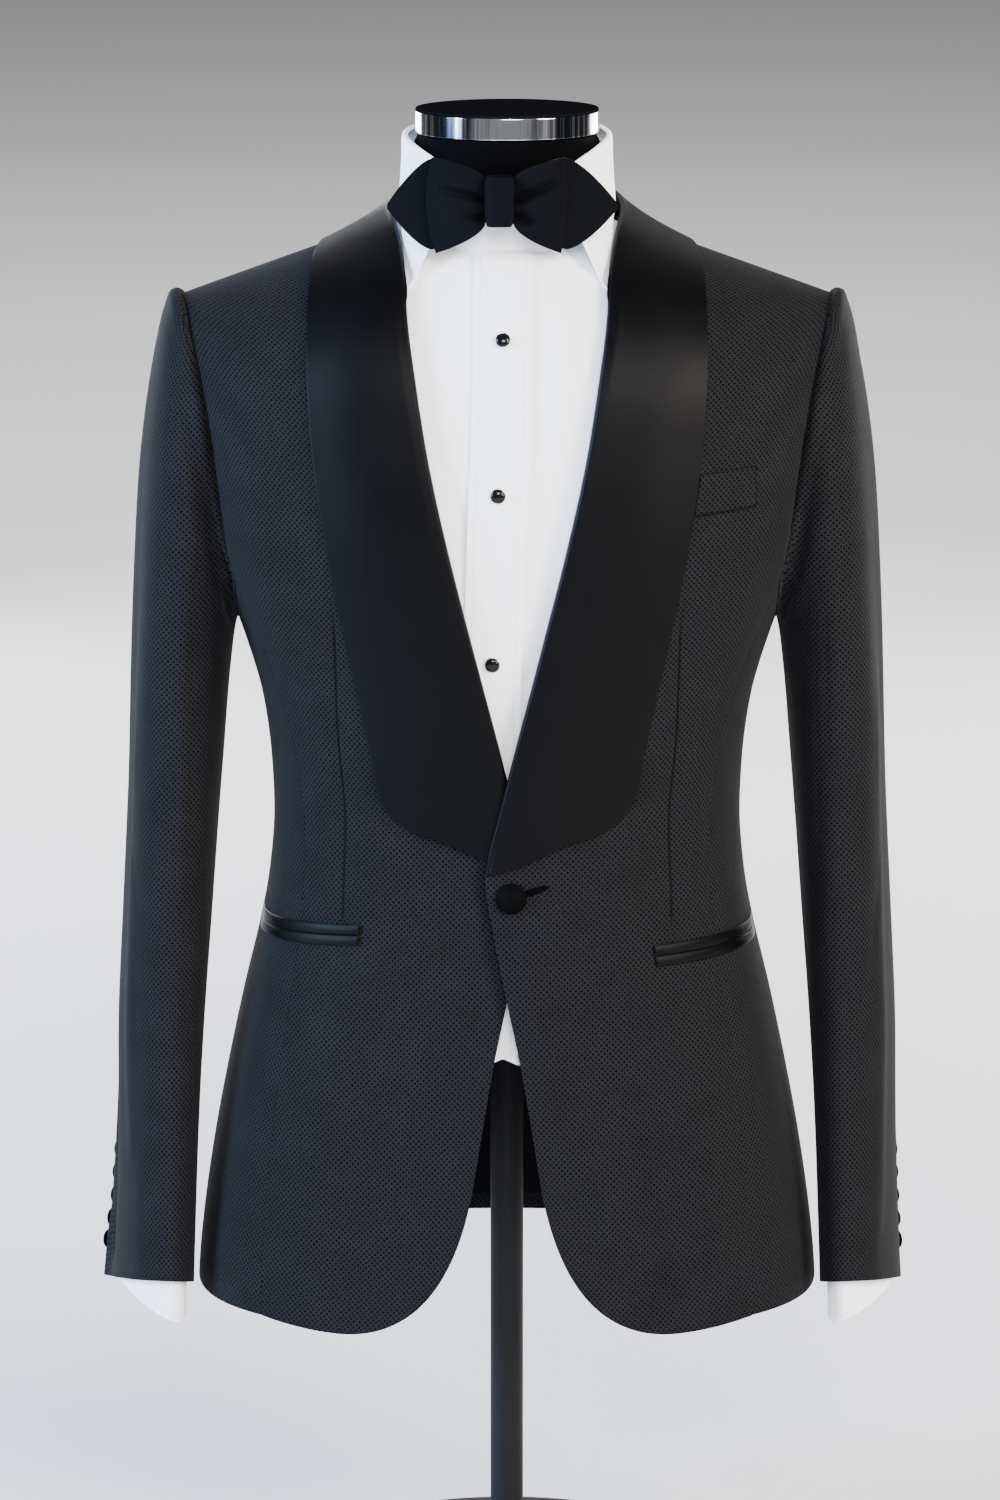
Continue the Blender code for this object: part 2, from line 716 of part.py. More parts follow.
def under_sleeve_rows():
    return sleeve_rows(lambda station: (FRONT_SEAM_ANGLE, 360 + HIND_SEAM.at("angle", station)), 2)


# ------------------------------------------------------------------ shirt

SHIRT_AT_CHEST = 0.0080
SHIRT_AT_SHOULDER = CLOTH_WALL + 0.0016
SHIRT_NECK = 0.0660
SHIRT_NECK_SHARE = 0.36
SHIRT_SIDE_TOP = 0.679
SHIRT_LEVELS = (0.392, 0.460, 0.540, 0.610, SHIRT_SIDE_TOP, 0.715, 0.750, *ARCH_LEVELS)
SHIRT_SHARES = (0.0, 0.01, 0.10, 0.19, 0.28, SHIRT_NECK_SHARE, 0.56, 0.76, 0.90, 0.99, 1.0)
PLACKET_HALF = 0.0190
PLACKET_OUT = SHIRT_WALL + 0.0006


def shirt_inset(level):
    """How far the shirt lies inside the jacket's outer face: least on the shoulder seam."""
    spare = SHIRT_AT_CHEST - SHIRT_AT_SHOULDER
    return SHIRT_AT_SHOULDER + spare * max(math.cos(turn_of(level)), 0.0) ** 1.3


def shirt_outer_x(level):
    """The shirt's side seam, then its armhole."""
    free = ramp(level, SHIRT_SIDE_TOP - 0.02, SHIRT_SIDE_TOP + 0.05)
    return (BODY.at("half_width", level) - shirt_inset(level)) * (0.9985 - (0.9985 - 0.937) * free)


def placket_x(z):
    """Centre line of the shirt's front."""
    return -0.0015 - 0.0330 * max(0.900 - z, 0.0) + 0.0240 * max(0.650 - z, 0.0)


SHIRT_FRONT_NECK = (SHIRT_NECK_SHARE, SHIRT_NECK, 0.9078, 0.0065)
SHIRT_BACK_NECK = (SHIRT_NECK_SHARE, SHIRT_NECK, 0.9225, 0.0065)


def shirt_point(level, share, back, middle):
    """A point of half the shirt: share 0 is its middle line, 1 its side seam or armhole."""
    tip_x = shirt_outer_x(SHOULDER_TIP)
    neck = SHIRT_BACK_NECK if back else SHIRT_FRONT_NECK
    x, at = to_neckline(shirt_outer_x(level) * share, level, share, tip_x, neck)
    x += middle * (1 - share)
    point = body(x, at, back, shirt_inset(at))
    if level == SHOULDER_TIP and share >= SHIRT_NECK_SHARE:
        point.y = SHOULDER_SEAM / 2 if back else -SHOULDER_SEAM / 2
    return point


def shirt_front_rows(side):
    """Half of the shirt's front from the placket's centre line to the side seam."""
    rows = []
    for level in SHIRT_LEVELS:
        middle = side * placket_x(level) + SEAM
        row = [shirt_point(level, share, False, middle) for share in SHIRT_SHARES]
        rows.append([Vector((side * p.x, p.y, p.z)) for p in row])
    return rows


def shirt_back_rows():
    rows = []
    for level in SHIRT_LEVELS:
        half = [shirt_point(level, share, True, 0.0) for share in SHIRT_SHARES if share != 0.01]
        rows.append([Vector((-p.x, p.y, p.z)) for p in reversed(half[1:])] + half)
    return rows


def placket_rows():
    """The placket on the same levels as the fronts, moved out from them."""
    neck_level = level_of(0.0, *SHIRT_FRONT_NECK[2:])
    rows = []
    for level in SHIRT_LEVELS:
        at = level + (neck_level - SHOULDER_TIP) * ramp(level, 0.720, SHOULDER_TIP)
        row = []
        for across in np.linspace(-PLACKET_HALF, PLACKET_HALF, 5):
            x = placket_x(level) + across
            row.append(body(x, at, False, shirt_inset(at)) + outward(x, at) * PLACKET_OUT)
        rows.append(row)
    return rows


BAND_RADIUS = 0.0641
BAND_BOTTOM = 0.9095
BAND_TOP = 0.9555


def band_rows():
    """The collar band round the neck."""
    rows = []
    for share in (0.0, 0.5, 1.0):
        row = []
        for step in range(21):
            angle = math.radians(step * 18)
            behind = (1 - math.cos(angle)) / 2
            low = BAND_BOTTOM + 0.0190 * behind + 0.0095 * math.sin(angle) ** 2
            high = BAND_TOP + 0.0290 * behind**0.6
            x, y = BAND_RADIUS * math.sin(angle), NECK_Y - BAND_RADIUS * math.cos(angle)
            row.append(Vector((x, y, low + (high - low) * share)))
        rows.append(row)
    return rows


LEAF_WALL = 0.0014

# The leaf from its front edge to the centre back: angle round the neck, height of the fold, and
# where its lower edge lies.
LEAF = Table(
    ("station", "angle", "fold_z", "edge_x", "edge_y", "edge_z"),
    (
        (0.0, 5.0, 0.9570, 0.0630, -0.0795, 0.8930),
        (1.0, 22.0, 0.9630, 0.0650, -0.0680, 0.9030),
        (2.0, 42.0, 0.9720, 0.0675, -0.0520, 0.9160),
        (3.0, 65.0, 0.9820, 0.0686, -0.0300, 0.9300),
        (4.0, 90.0, 0.9880, 0.0690, -0.0080, 0.9400),
        (5.0, 135.0, 0.9905, 0.0490, 0.0415, 0.9430),
        (6.0, 180.0, 0.9915, 0.0000, 0.0612, 0.9440),
    ),
)


def leaf_section(station, side):
    angle = math.radians(LEAF.at("angle", station))
    top = LEAF.at("fold_z", station)
    ring = Vector((math.sin(angle), -math.cos(angle), 0))
    neck = Vector((0, NECK_Y, 0))
    inside = neck + ring * 0.0640 + Vector((0, 0, top - 0.0008))
    crest = neck + ring * 0.0658 + Vector((0, 0, top))
    shoulder = neck + ring * 0.0680 + Vector((0, 0, top - 0.0022))
    edge = Vector([LEAF.at(f"edge_{axis}", station) for axis in "xyz"])
    points = [inside, crest, shoulder]
    for share in (0.4, 0.75, 1.0):
        point = shoulder.lerp(edge, share)
        planar = Vector((point.x, point.y - NECK_Y))
        if planar.length < 0.0684:
            planar *= 0.0684 / planar.length
        point = Vector((planar.x, planar.y + NECK_Y, point.z))
        points.append(clear_of_body(point, LEAF_WALL + 0.0006 - shirt_inset(nearest(point)[0])))
    return [Vector((side * p.x, p.y, p.z)) for p in points]


def leaf_rows():
    stations = (0.0, 0.5, 1.0, 1.5, 2.0, 2.7, 3.4, 4.0, 4.7, 5.4, 6.0)
    right = [leaf_section(station, -1) for station in stations]
    left = [leaf_section(station, 1) for station in stations[-2::-1]]
    return right + left


def shirt_armhole(which):
    """The shirt's armhole from the shoulder tip to the underarm, down its front or back."""
    points = []
    for level in np.linspace(SHOULDER_TIP, SHIRT_SIDE_TOP, 40):
        points.append(body(shirt_outer_x(level), level, which == "back", shirt_inset(level)))
    points[-1].y = 0.0
    return points


SHIRT_ARMHOLES = {which: shirt_armhole(which) for which in ("front", "back")}


def shirt_sleeve_point(angle, station):
    which = "front" if angle >= 0 else "back"
    hole = along(SHIRT_ARMHOLES[which], abs(angle) / 180)
    hole += Vector((0.0, -hole.y, 0.765 - hole.z)).normalized() * 0.0008 + Vector((0.0008, 0, 0))
    inside = sleeve_point(angle, station) - sleeve_outward(angle, station) * SHIRT_SLEEVE_INSET
    return hole.lerp(inside, ramp(station, 0.0, 0.7))


def shirt_sleeve_rows():
    """The shirt's sleeve inside the jacket's, down to its cuff."""
    rows = []
    for station in (0.0, 0.35, 0.7, 1.6, 3.2, 5.2, 7.2, 8.8, 9.8):
        ring = [shirt_sleeve_point(angle, station) for angle in np.linspace(-180, 180, 13)[:-1]]
        rows.append([*ring, ring[0]])
    return rows


def cuff_rows():
    """The cuff inside the jacket sleeve's mouth, its lower edge cut higher on the outer side."""
    rows = []
    for height in (CUFF_TOP, CUFF_MIDDLE, CUFF_BOTTOM):
        slant = CUFF_SLANT if height == CUFF_BOTTOM else 0.0
        above = height - HEM_HEIGHT
        station = SLEEVE_HEM - above / (STATION_ABOVE_HEM if above > 0 else STATION_BELOW_HEM)
        ring = []
        for angle in np.linspace(-180, 180, 15)[:-1]:
            point = sleeve_point(angle, station) - sleeve_outward(angle, station) * CUFF_INSET
            rise = slant * max(point.x - CUFF_INNER_X, 0.0)
            ring.append(Vector((point.x, point.y, height + rise)))
        rows.append([*ring, ring[0]])
    return rows


# ------------------------------------------------------------------ bow tie

BOW = Vector((-0.0050, -0.0890, 0.9480))
KNOT_FRONT = -0.0975
KNOT_BACK = -0.0767
KNOT_HALF_WIDTH = 0.0097
KNOT_HALF_HEIGHT = 0.0163
WING_HALF = 0.0120
WING_FLARE = 0.0186
BOW_WALL = 0.0030
POINT_WALL = 0.0022


def wing_rows(side, tip):
    """A front wing: a folded ribbon that spreads from the knot, with two pleats."""
    start = KNOT_HALF_WIDTH + 0.0006
    rows = []
    for share in np.linspace(0.0, 1.0, 6):
        reach = start + (tip - start) * share
        half = WING_HALF + WING_FLARE * share**0.47
        row = []
        for across in np.linspace(-1.0, 1.0, 9):
            lean = 0.0030 * (1 - across**2) * share
            pleat = 0.0030 * math.cos(across * math.pi * 1.5) * (1 - share) ** 1.2
            puff = 0.0030 * math.sin(math.pi * min(share * 1.15, 1.0)) * (1 - 0.4 * across**2)
            z = BOW.z + across * half - 0.0012 * share
            y = BOW.y - puff + pleat + 0.0030 * share**2
            row.append(Vector((BOW.x + side * (reach + lean), y, z)))
        rows.append(row)
    return rows


def point_rows(side, tip, wing_tip):
    """A back wing: it runs from behind the front wing's corners out to a point."""
    start = KNOT_HALF_WIDTH + 0.0120
    rows = []
    for share in np.linspace(0.0, 1.0, 7):
        reach = start + (tip - start) * share
        shown = min((reach - KNOT_HALF_WIDTH) / (wing_tip - KNOT_HALF_WIDTH), 1.0)
        hidden = WING_HALF + WING_FLARE * shown**0.47 - 0.0016
        beyond = 0.0290 - 0.0268 * max(reach - wing_tip, 0.0) / (tip - wing_tip)
        row = []
        for across in np.linspace(-1.0, 1.0, 5):
            z = BOW.z - 0.0012 - 0.0028 * share + across * min(hidden, beyond)
            y = BOW.y + BOW_WALL + 0.0027 + 0.0034 * share**1.6
            row.append(Vector((BOW.x + side * reach, y, z)))
        rows.append(row)
    return rows


def make_knot():
    work = bmesh.new()
    bmesh.ops.create_cube(work, size=2.0)
    for vertex in work.verts:
        pinch = 0.94 if vertex.co.z < 0 else 1.0
        x = vertex.co.x * KNOT_HALF_WIDTH * pinch
        y = vertex.co.y * (KNOT_BACK - KNOT_FRONT) / 2
        vertex.co = Vector((x, y, vertex.co.z * KNOT_HALF_HEIGHT))
    made = bpy.data.meshes.new("bow_knot")
    work.to_mesh(made)
    work.free()
    knot = add_object("bow_knot", made, "barathea")
    knot.location = (BOW.x, (KNOT_FRONT + KNOT_BACK) / 2, BOW.z)
    bevel = knot.modifiers.new("soft", "BEVEL")
    bevel.width = 0.0034
    bevel.segments = 3


# ------------------------------------------------------------------ trims


WELT_CORNERS = ((0.1262, 0.7505), (0.1590, 0.7530))  # x and height of its lower edge
WELT_HEIGHT = 0.0260
WELT_WALL = 0.0014


def welt_rows():
    """The breast pocket's welt, on the left front."""
    (x0, z0), (x1, z1) = WELT_CORNERS
    rows = []
    for up in np.linspace(0.0, WELT_HEIGHT, 3):
        row = []
        for share in np.linspace(0.0, 1.0, 8):
            x, z = x0 + (x1 - x0) * share, z0 + (z1 - z0) * share + up
            row.append(off_body(x, level_of(x, z), WELT_WALL + SEAM))
        rows.append(row)
    return rows


POCKET_INNER_X = 0.0960
POCKET_END_ANGLE = 88.0
JET_HEIGHT = 0.0068
JET_WALL = 0.0011

# Each pocket's lower edge at its inner end, and how far it drops towards the side.
POCKETS = {"left": (0.4545, 0.0065), "right": (0.4665, 0.0110)}


def jet_rows(low, pocket):
    """A satin jet that follows the front round the side."""
    inner_z, drop = POCKETS[pocket]
    inner_angle = math.asin((POCKET_INNER_X / BODY.at("half_width", inner_z)) ** (SQUARENESS / 2))
    rows = []
    for up in (low, low + JET_HEIGHT / 2, low + JET_HEIGHT):
        row = []
        for share in np.linspace(0.0, 1.0, 9):
            angle = inner_angle + (math.radians(POCKET_END_ANGLE) - inner_angle) * share
            level = inner_z - drop * math.sin(share * math.pi / 2) + up
            base = body_round(angle, level)
            normal = outward(base.x, level, base.y > 0)
            row.append(base + normal * (JET_WALL + 0.0009))
        rows.append(row)
    return rows


def button(name, finish, radius, height, place, axis, steps):
    """A shallow domed button that stands on the cloth."""
    profile = [
        (0.0, height),
        (radius * 0.72, height * 0.88),
        (radius, height * 0.40),
        (radius * 0.80, 0.0),
        (0.0, 0.0),
    ]
    return turned(name, finish, profile, place, axis, steps)


# ------------------------------------------------------------------ dress form


FORM_AT_CHEST = 0.0165
FORM_AT_SHOULDER = SHIRT_AT_SHOULDER + SHIRT_WALL + 0.0009


def form_inset(level):
    """How far the form lies inside the jacket's outer face: the shirt rests on its shoulders."""
    spare = FORM_AT_CHEST - FORM_AT_SHOULDER
    return FORM_AT_SHOULDER + spare * max(math.cos(turn_of(level)), 0.0) ** 1.3


FORM_SHARES = (0.0, 0.20, 0.40, 0.60, 0.78, 0.91, 0.98, 1.0)


def form_ring(level):
    """A section of the form, from the centre front round by the left side."""
    inset = form_inset(level)
    free = ramp(level, 0.560, 0.720)
    half = (BODY.at("half_width", level) - inset) * (1 - 0.063 * free) - 0.004 * free
    turn = turn_of(level)
    quarters = []
    for column in ("front", "back"):
        depth = (BODY.at(column, level) - inset) * math.cos(turn)
        quarter = []
        for share in FORM_SHARES:
            x = half * share
            y = depth * (1 - share**SQUARENESS) ** (1 / SQUARENESS)
            z = level
            if level > ARCH_START:
                z = ARCH_START + (ridge(x) - inset - ARCH_START) * math.sin(turn)
            quarter.append(Vector((x, -y if column == "front" else y, z)))
        quarters.append(quarter)
    left = quarters[0] + quarters[1][-2::-1]
    return left + [Vector((-p.x, p.y, p.z)) for p in left[-2:0:-1]]


def make_form():
    """The torso as a lofted tube closed along its shoulders, joined to the neck."""
    levels = (FORM_BOTTOM, 0.470, 0.540, 0.620, 0.700, 0.760, *ARCH_LEVELS[::2], SHOULDER_TIP)
    rings = [form_ring(level) for level in levels]
    mesh_data = grid_mesh("form_torso", [[*ring, ring[0]] for ring in rings], closed=True)
    work = bmesh.new()
    work.from_mesh(mesh_data)
    bmesh.ops.remove_doubles(work, verts=work.verts, dist=1e-5)
    rim = [edge for edge in work.edges if edge.is_boundary]
    bmesh.ops.holes_fill(work, edges=rim)
    bmesh.ops.recalc_face_normals(work, faces=work.faces)
    work.to_mesh(mesh_data)
    work.free()
    torso = add_object("form_torso", mesh_data, "form")
    profile = [
        (0.0, NECK_TOP),
        (0.0575, NECK_TOP),
        (0.0575, 0.940),
        (0.0600, 0.915),
        (0.0600, 0.860),
        (0.0, 0.860),
    ]
    neck = turned("neck_core", "form", profile, (0.0, NECK_Y, 0.0))
    GARMENT.objects.unlink(neck)
    CUTTERS.objects.link(neck)
    neck.hide_render = True
    neck.display_type = "WIRE"
    join = torso.modifiers.new("neck", "BOOLEAN")
    join.operation = "UNION"
    join.object = neck


def make_stand():
    base = [
        (0.0, BASE_HEIGHT + 0.022),
        (0.0170, BASE_HEIGHT + 0.022),
        (0.0180, BASE_HEIGHT + 0.020),
        (0.0180, BASE_HEIGHT + 0.003),
        (0.0220, BASE_HEIGHT),
        (BASE_RADIUS - 0.003, BASE_HEIGHT),
        (BASE_RADIUS, BASE_HEIGHT - 0.003),
        (BASE_RADIUS, 0.0),
        (0.0, 0.0),
    ]
    turned("stand_base", "steel", base, (0, 0, 0), steps=28)
    foot = BASE_HEIGHT + 0.022 + SEAM
    top = FORM_BOTTOM - SEAM
    socket = [(0.0, top), (0.0300, top), (0.0300, top - 0.005), (0.0250, top - 0.009), (0.0, top - 0.009)]
    turned("form_socket", "steel", socket, (0, 0, 0), steps=16)
    top = top - 0.009 - SEAM
    post = [(0.0, top), (POST_RADIUS, top), (POST_RADIUS, foot), (0.0, foot)]
    turned("stand_post", "steel", post, (0, 0, 0), steps=16)
    cap_low = NECK_TOP + SEAM
    ring = [
        (0.0596, TOTAL_HEIGHT - 0.0008),
        (0.0596, cap_low),
        (0.0572, cap_low),
        (0.0572, TOTAL_HEIGHT - 0.0008),
        (0.0584, TOTAL_HEIGHT),
    ]
    turned("neck_band", "chrome", ring, (0, NECK_Y, 0), steps=28, ring=True)
    disc = [
        (0.0, TOTAL_HEIGHT - 0.0012),
        (0.0560, TOTAL_HEIGHT - 0.0012),
        (0.0568, TOTAL_HEIGHT - 0.0022),
        (0.0568, cap_low),
        (0.0, cap_low),
    ]
    turned("neck_disc", "form", disc, (0, NECK_Y, 0), steps=28)


# ------------------------------------------------------------------ assembly


def both_sides(name, finish, rows_right_handed, wall, hub):
    """The same panel on the wearer's left and, mirrored, on the right."""
    sheet(f"{name}_left", finish, rows_right_handed, wall, hub)
    sheet(f"{name}_right", finish, mirrored(rows_right_handed), wall, hub)


def make_jacket():
    sheet("jacket_front_left", "barathea_cloth", front_rows(True), CLOTH_WALL, trunk)
    sheet("jacket_front_right", "barathea_cloth", mirrored(front_rows(False)), CLOTH_WALL, trunk)
    both_sides("jacket_side", "barathea_cloth", side_rows(), CLOTH_WALL, trunk)
    both_sides("jacket_back", "barathea_cloth", back_rows(), CLOTH_WALL, trunk)
    sheet("jacket_lining", "lining", lining_rows(), 0.0010, trunk)
    both_sides("top_sleeve", "barathea_cloth", top_sleeve_rows(), CLOTH_WALL, arm)
    both_sides("under_sleeve", "barathea_cloth", under_sleeve_rows(), CLOTH_WALL, arm)
    sheet("shawl_left", "satin", shawl_rows(True), SATIN_WALL, collar_hub)
    sheet("shawl_right", "satin", mirrored(shawl_rows(False)), SATIN_WALL, collar_hub)


def make_jacket_trim():
    sheet("breast_welt", "barathea_cloth", welt_rows(), WELT_WALL, trunk)
    for label, low in (("lower", 0.0), ("upper", JET_HEIGHT + SEAM)):
        sheet(f"pocket_jet_{label}_left", "satin", jet_rows(low, "left"), JET_WALL, trunk)
        sheet(f"pocket_jet_{label}_right", "satin", mirrored(jet_rows(low, "right")), JET_WALL, trunk)
    x, level = 0.0026, BUTTON_HEIGHT
    normal = outward(x, level)
    place = off_body(x, level, front_lift(x, level) + SEAM + 0.0001)
    button("front_button", "satin", BUTTON_RADIUS, 0.0046, place, normal, 20)
    for side, label in ((1, "left"), (-1, "right")):
        for index in range(SLEEVE_BUTTONS):
            height = SLEEVE_BUTTON_TOP - index * SLEEVE_BUTTON_STEP
            station = SLEEVE_HEM - (height - HEM_HEIGHT + 0.005) / STATION_ABOVE_HEM
            angle = HIND_SEAM.at("angle", station) + BUTTON_LINE
            normal = sleeve_outward(angle, station)
            place = sleeve_point(angle, station) + normal * (SEAM + 0.0002)
            place.x *= side
            normal.x *= side
            name = f"sleeve_button_{label}_{index + 1}"
            button(name, "satin", SLEEVE_BUTTON_RADIUS, 0.0032, place, normal, 9)


def make_shirt():
    for side, label in ((1, "left"), (-1, "right")):
        sheet(f"shirt_front_{label}", "poplin", shirt_front_rows(side), SHIRT_WALL, trunk)
    sheet("shirt_back", "poplin", shirt_back_rows(), SHIRT_WALL, trunk)
    sheet("shirt_placket", "poplin", placket_rows(), SHIRT_WALL, trunk)
    sheet("collar_band", "poplin", band_rows(), SHIRT_WALL, collar_hub, closed=True)
    sheet("collar_leaf", "poplin", leaf_rows(), LEAF_WALL, collar_hub)
    for side, label in ((1, "left"), (-1, "right")):
        sleeve, cuff = shirt_sleeve_rows(), cuff_rows()
        if side < 0:
            sleeve, cuff = mirrored(sleeve), mirrored(cuff)
        sheet(f"shirt_sleeve_{label}", "poplin", sleeve, SHIRT_WALL, arm, closed=True)
        sheet(f"shirt_cuff_{label}", "poplin", cuff, 0.0016, arm, closed=True)
    for index, height in enumerate(STUD_HEIGHTS):
        x = placket_x(height)
        level = level_of(x, height, SHIRT_AT_CHEST)
        normal = outward(x, level)
        place = body(x, level, False, shirt_inset(level)) + normal * (SHIRT_WALL + 0.0009)
        button(f"stud_{index + 1}", "onyx", STUD_RADIUS, 0.0024, place, normal, 14)


def make_bow():
    make_knot()
    for side, label, tip, end in ((1, "left", 0.0445, 0.0755), (-1, "right", 0.0430, 0.0715)):
        sheet(f"bow_wing_{label}", "barathea", wing_rows(side, tip), BOW_WALL, behind)
        sheet(f"bow_point_{label}", "barathea", point_rows(side, end, tip), POINT_WALL, behind)


clear_scene()
GARMENT = collection("tuxedo_on_dress_form")
CUTTERS = collection("cutters")
FINISHES = {
    "barathea_cloth": finish_of("charcoal dobby cloth", (0.018, 0.020, 0.026), 0.80),
    "satin": finish_of("black satin", (0.010, 0.010, 0.012), 0.32),
    "lining": finish_of("black lining", (0.006, 0.006, 0.008), 0.50),
    "poplin": finish_of("white poplin", (0.80, 0.80, 0.80), 0.70),
    "barathea": finish_of("midnight barathea", (0.012, 0.013, 0.022), 0.55),
    "onyx": finish_of("black onyx stud", (0.008, 0.008, 0.008), 0.12),
    "form": finish_of("black flocked form", (0.006, 0.006, 0.006), 0.90),
    "chrome": finish_of("chrome plate", (0.70, 0.70, 0.72), 0.10, 1.0),
    "steel": finish_of("black powder-coated steel", (0.008, 0.008, 0.009), 0.60),
}
make_form()
make_stand()
make_shirt()
make_bow()
make_jacket()
make_jacket_trim()
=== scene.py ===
"""The looks of a tuxedo on a limbless dress form: its cloth, trims, stand, light and camera.

Metres, +Z up. The wearer faces -Y and the wearer's left is +X.
"""

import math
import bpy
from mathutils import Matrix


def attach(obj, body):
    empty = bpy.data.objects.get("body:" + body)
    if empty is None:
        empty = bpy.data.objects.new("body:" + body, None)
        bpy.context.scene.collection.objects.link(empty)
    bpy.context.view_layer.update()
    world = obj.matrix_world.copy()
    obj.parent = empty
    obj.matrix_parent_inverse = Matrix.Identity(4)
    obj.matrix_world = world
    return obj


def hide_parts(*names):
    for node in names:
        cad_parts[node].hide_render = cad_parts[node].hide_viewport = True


bl_info = {
    "name": "Tuxedo on a dress form",
    "version": (1, 0, 0),
    "blender": (4, 5, 0),
    "location": "View3D > Sidebar > Tuxedo",
    "description": "Dresses the packed model of a tuxedo in cloth, satin and poplin",
    "category": "Object",
}

import bpy
import numpy as np
from bpy.props import FloatProperty, FloatVectorProperty, PointerProperty
from mathutils import Vector

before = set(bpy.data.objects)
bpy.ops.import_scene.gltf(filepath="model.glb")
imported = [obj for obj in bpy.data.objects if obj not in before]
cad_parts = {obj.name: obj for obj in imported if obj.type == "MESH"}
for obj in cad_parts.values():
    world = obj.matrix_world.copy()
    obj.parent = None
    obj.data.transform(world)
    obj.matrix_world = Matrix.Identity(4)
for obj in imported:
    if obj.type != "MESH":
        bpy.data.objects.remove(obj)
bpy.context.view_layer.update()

# ------------------------------------------------------------------ sizes, most of them the solids' own

CLOTH_WALL = 0.0020
SATIN_WALL = 0.0016
SHIRT_WALL = 0.0012
LEAF_WALL = 0.0014
CUFF_WALL = 0.0016
LINING_WALL = 0.0010
SEAM_GAP = 0.00006  # between two sewn pieces, too narrow to see through

SQUARENESS = 2.5  # exponent of the body's rounded-square sections
ARCH_START = 0.800  # height where the chest starts to turn over the shoulder
SHOULDER_TIP = 0.878
NECK_RADIUS = 0.0745
NECK_Y = -0.008
RIDGE_AT_NECK = 0.9270
RIDGE_SLOPE = 0.3554
RIDGE_ROUND = 0.024
FRONT_LIFT = 0.0056
BUTTON_HEIGHT = 0.504
BUTTON_X = 0.0026
FORM_BOTTOM = 0.395
NECK_TOP = 0.984
TOTAL_HEIGHT = 1.000
BASE_RADIUS = 0.150
BASE_HEIGHT = 0.012
POST_RADIUS = 0.011
SLEEVE_BUTTONS = 5
SLEEVE_BUTTON_TOP = 0.2969
SLEEVE_BUTTON_STEP = 0.0134
STUD_HEIGHTS = (0.8605, 0.7644, 0.6557)
SIDES = ((1, "left"), (-1, "right"))


class Table:
    """Sections in order of their first column, read between rows on a smooth curve."""

    def __init__(self, columns, rows):
        values = np.array(rows, float)
        self.keys = values[:, 0]
        self.columns = {name: values[:, i] for i, name in enumerate(columns)}
        self.slopes = {name: np.gradient(column, self.keys) for name, column in self.columns.items()}

    def at(self, name, key):
        keys, values, slopes = self.keys, self.columns[name], self.slopes[name]
        key = np.clip(key, keys[0], keys[-1])
        i = np.clip(np.searchsorted(keys, key, side="right") - 1, 0, len(keys) - 2)
        step = keys[i + 1] - keys[i]
        t = (key - keys[i]) / step
        return (
            values[i] * (2 * t**3 - 3 * t**2 + 1)
            + slopes[i] * step * (t**3 - 2 * t**2 + t)
            + values[i + 1] * (3 * t**2 - 2 * t**3)
            + slopes[i + 1] * step * (t**3 - t**2)
        )

    def place(self, name, key):
        """The points in the columns name_x, name_y and name_z."""
        return np.stack([self.at(f"{name}_{axis}", key) for axis in "xyz"], axis=-1)


BODY = Table(
    ("height", "half_width", "front", "back"),
    (
        (0.195, 0.2070, 0.1445, 0.1400),
        (0.226, 0.2060, 0.1435, 0.1385),
        (0.309, 0.1960, 0.1390, 0.1310),
        (0.364, 0.1855, 0.1350, 0.1240),
        (0.412, 0.1750, 0.1315, 0.1170),
        (0.460, 0.1635, 0.1285, 0.1100),
        (0.501, 0.1565, 0.1265, 0.1060),
        (0.541, 0.1525, 0.1260, 0.1045),
        (0.580, 0.1543, 0.1275, 0.1070),
        (0.620, 0.1612, 0.1300, 0.1120),
        (0.662, 0.1738, 0.1330, 0.1180),
        (0.700, 0.1880, 0.1345, 0.1230),
        (0.766, 0.1985, 0.1330, 0.1270),
        (0.800, 0.2045, 0.1290, 0.1270),
        (0.840, 0.2175, 0.1230, 0.1250),
        (0.878, 0.2268, 0.1180, 0.1220),
    ),
)

# Where the side seams lie, as shares of the half width, and the armhole above them.
SEAMS = Table(
    ("height", "front", "back"),
    (
        (0.200, 0.775, 0.800),
        (0.450, 0.830, 0.840),
        (0.600, 0.885, 0.885),
        (0.700, 0.937, 0.937),
        (0.878, 0.937, 0.937),
    ),
)
ARMHOLE_BOTTOM = 0.667
ARMHOLE_CORNER = 0.700

# The edge of the V opening on each side, then the front edge down to the rounded corner.
FRONT_EDGE = Table(
    ("height", "x"),
    (
        (0.310, 0.0225),
        (0.355, 0.0152),
        (0.395, 0.0083),
        (0.436, -0.0002),
        (0.478, -0.0085),
        (0.518, -0.0141),
        (0.575, -0.0016),
        (0.633, 0.0137),
        (0.695, 0.0292),
        (0.725, 0.0366),
        (0.789, 0.0510),
        (0.842, 0.0592),
        (0.892, 0.0650),
        (0.927, 0.0745),
    ),
)

# The dart of each front, from the chest down to the pocket, and its line beyond both ends.
DART = Table(
    ("height", "x"),
    (
        (0.216, 0.1180),
        (0.310, 0.1120),
        (0.400, 0.1080),
        (0.500, 0.1065),
        (0.553, 0.1050),
        (0.600, 0.1090),
        (0.698, 0.1120),
        (0.800, 0.1220),
        (0.878, 0.1400),
    ),
)
DART_LOW, DART_HIGH = 0.476, 0.700

